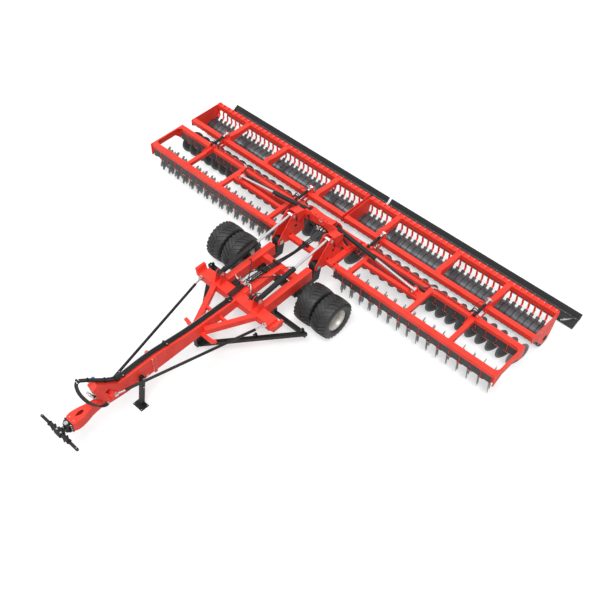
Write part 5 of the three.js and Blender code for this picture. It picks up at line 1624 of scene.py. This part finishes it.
for route in (
        [(-0.02, 0.60, 1.240), (-0.16, 0.610, 1.185), (-0.30, 0.620, 1.210), (-0.400, 0.640, 1.300),
         (-0.395, 0.662, 1.345)],
        [(0.22, 0.60, 1.235), (0.34, 0.610, 1.180), (0.47, 0.620, 1.175), (0.565, 0.640, 1.220),
         (0.560, 0.662, 1.260)],
        [(-0.02, 0.61, 1.225), (-0.17, 0.622, 1.160), (-0.32, 0.632, 1.190), (-0.425, 0.645, 1.290),
         (-0.425, 0.662, 1.335)],
        [(0.22, 0.61, 1.220), (0.35, 0.622, 1.155), (0.49, 0.632, 1.150), (0.595, 0.645, 1.205),
         (0.592, 0.662, 1.250)]):
    centre.add("hydraulic_hose_rubber", pipe(route, 0.0115, 10, 6))
    nut_x, nut_z = route[-1][0], route[-1][2]
    centre.add("black_satin_coat", bar((nut_x, 0.628, nut_z), (0, 1, 0.2), 0.05, 0.018, 0.004, 12))
centre.add("black_satin_coat", block((-0.075, 0.055, 0.930), (0.115, 0.110, 1.060), 0.006))

# %% [markdown]
# Over each hinge the centre frame has a doubler plate, two bolts and a long weld.

# %% Doublers and bolts over the hinges
HINGE_BEAMS_Y = (0.105, 1.145)
for side in (-1, 1):
    for y in HINGE_BEAMS_Y:
        centre.add("zinc_plated_steel", *[
            bolt((side * 0.90, y + dy, FRAME_TOP), (0, 0, 1), 0.030, 0.018) for dy in (-0.05, 0.05)])
    centre.add("red_powder_coat", *[
        slab("z", FRAME_TOP, FRAME_TOP + 0.006, [
            (side * 0.79, y - 0.075), (side * 0.965, y - 0.075), (side * 0.965, y + 0.075),
            (side * 0.79, y + 0.075)][::side], 0.002) for y in HINGE_BEAMS_Y],
        weld_bead((side * 0.812, 0.182, 0.944), (side * 0.812, 1.068, 0.944)))
centre.build()
print("pieces so far", totals)

# %% [markdown]
# ## Floor and light
# The machine stands on a plain pale floor under a broad soft sun that comes from high in front
# and to the left, with an even pale sky. Upper faces then read at about their own colour and
# side faces stay near half as bright. The floor looks white straight on, but throws back less
# light than it shows.

# %% Floor
def seen_directly(tree):
    """1 for what the eye, a reflection or a clear pane sees, 0 for light thrown back on the machine."""
    path_kind = add_node(tree, "ShaderNodeLightPath").outputs
    seen = add_node(tree, "ShaderNodeMath", {
        0: path_kind["Is Camera Ray"], 1: path_kind["Is Glossy Ray"]}, operation="MAXIMUM").outputs[0]
    return add_node(tree, "ShaderNodeMath", {
        0: seen, 1: path_kind["Is Transmission Ray"]}, operation="MAXIMUM").outputs[0]


FLOOR_GLOW = 0.50
floor_mesh = bpy.data.meshes.new("floor")
floor_mesh.from_pydata([(-90, -90, 0), (90, -90, 0), (90, 90, 0), (-90, 90, 0)], [], [(0, 1, 2, 3)])
floor = bpy.data.objects.new("floor", floor_mesh)
bpy.context.collection.objects.link(floor)
floor.location.z = -0.002
painted = bpy.data.materials.new("pale_studio_floor")
painted.use_nodes = True
tree = painted.node_tree
surface = tree.nodes["Principled BSDF"]
seen = seen_directly(tree)
tree.links.new(mixed(tree, seen, (0.42, 0.42, 0.42, 1), (0.58, 0.58, 0.58, 1)),
    surface.inputs["Base Color"])
surface.inputs["Roughness"].default_value = 0.9
surface.inputs["Specular IOR Level"].default_value = 0.0
glow = add_node(tree, "ShaderNodeMath", {0: seen, 1: FLOOR_GLOW}, operation="MULTIPLY").outputs[0]
tree.links.new(glow, surface.inputs["Emission Strength"])
surface.inputs["Emission Color"].default_value = (1, 1, 1, 1)
floor.data.materials.append(painted)

# %% [markdown]
# One broad sun gives the shapes their soft shadows and a second, narrower one lifts the sides
# that face the hitch. The sky looks white, but lights the machine with less than half of that.

# %% Suns and sky
for name, energy, spread, way in (
        ("soft_sun", 2.2, 40, (0.30, -0.38, 1.0)),
        ("side_sun", 0.55, 14, (-0.49, -0.35, 0.81))):
    sun_data = bpy.data.lights.new(name, "SUN")
    sun_data.energy = energy
    sun_data.angle = math.radians(spread)
    sun = bpy.data.objects.new(name, sun_data)
    bpy.context.collection.objects.link(sun)
    sun.rotation_mode = "QUATERNION"
    sun.rotation_quaternion = Vector(way).to_track_quat("Z", "Y")

world = bpy.data.worlds.new("pale_sky")
bpy.context.scene.world = world
world.use_nodes = True
sky = world.node_tree.nodes["Background"]
sky.inputs["Color"].default_value = (1, 1, 1, 1)
SKY_LIGHT = 0.42
shown = add_node(world.node_tree, "ShaderNodeMath",
    {0: seen_directly(world.node_tree), 1: 1 - SKY_LIGHT, 2: SKY_LIGHT},
    operation="MULTIPLY_ADD").outputs[0]
world.node_tree.links.new(shown, sky.inputs["Strength"])
bpy.context.scene.view_settings.view_transform = "Standard"

# %% [markdown]
# ## Piece count
# The number of added pieces and of their triangles is printed.

# %% Piece count
print("added pieces", totals)
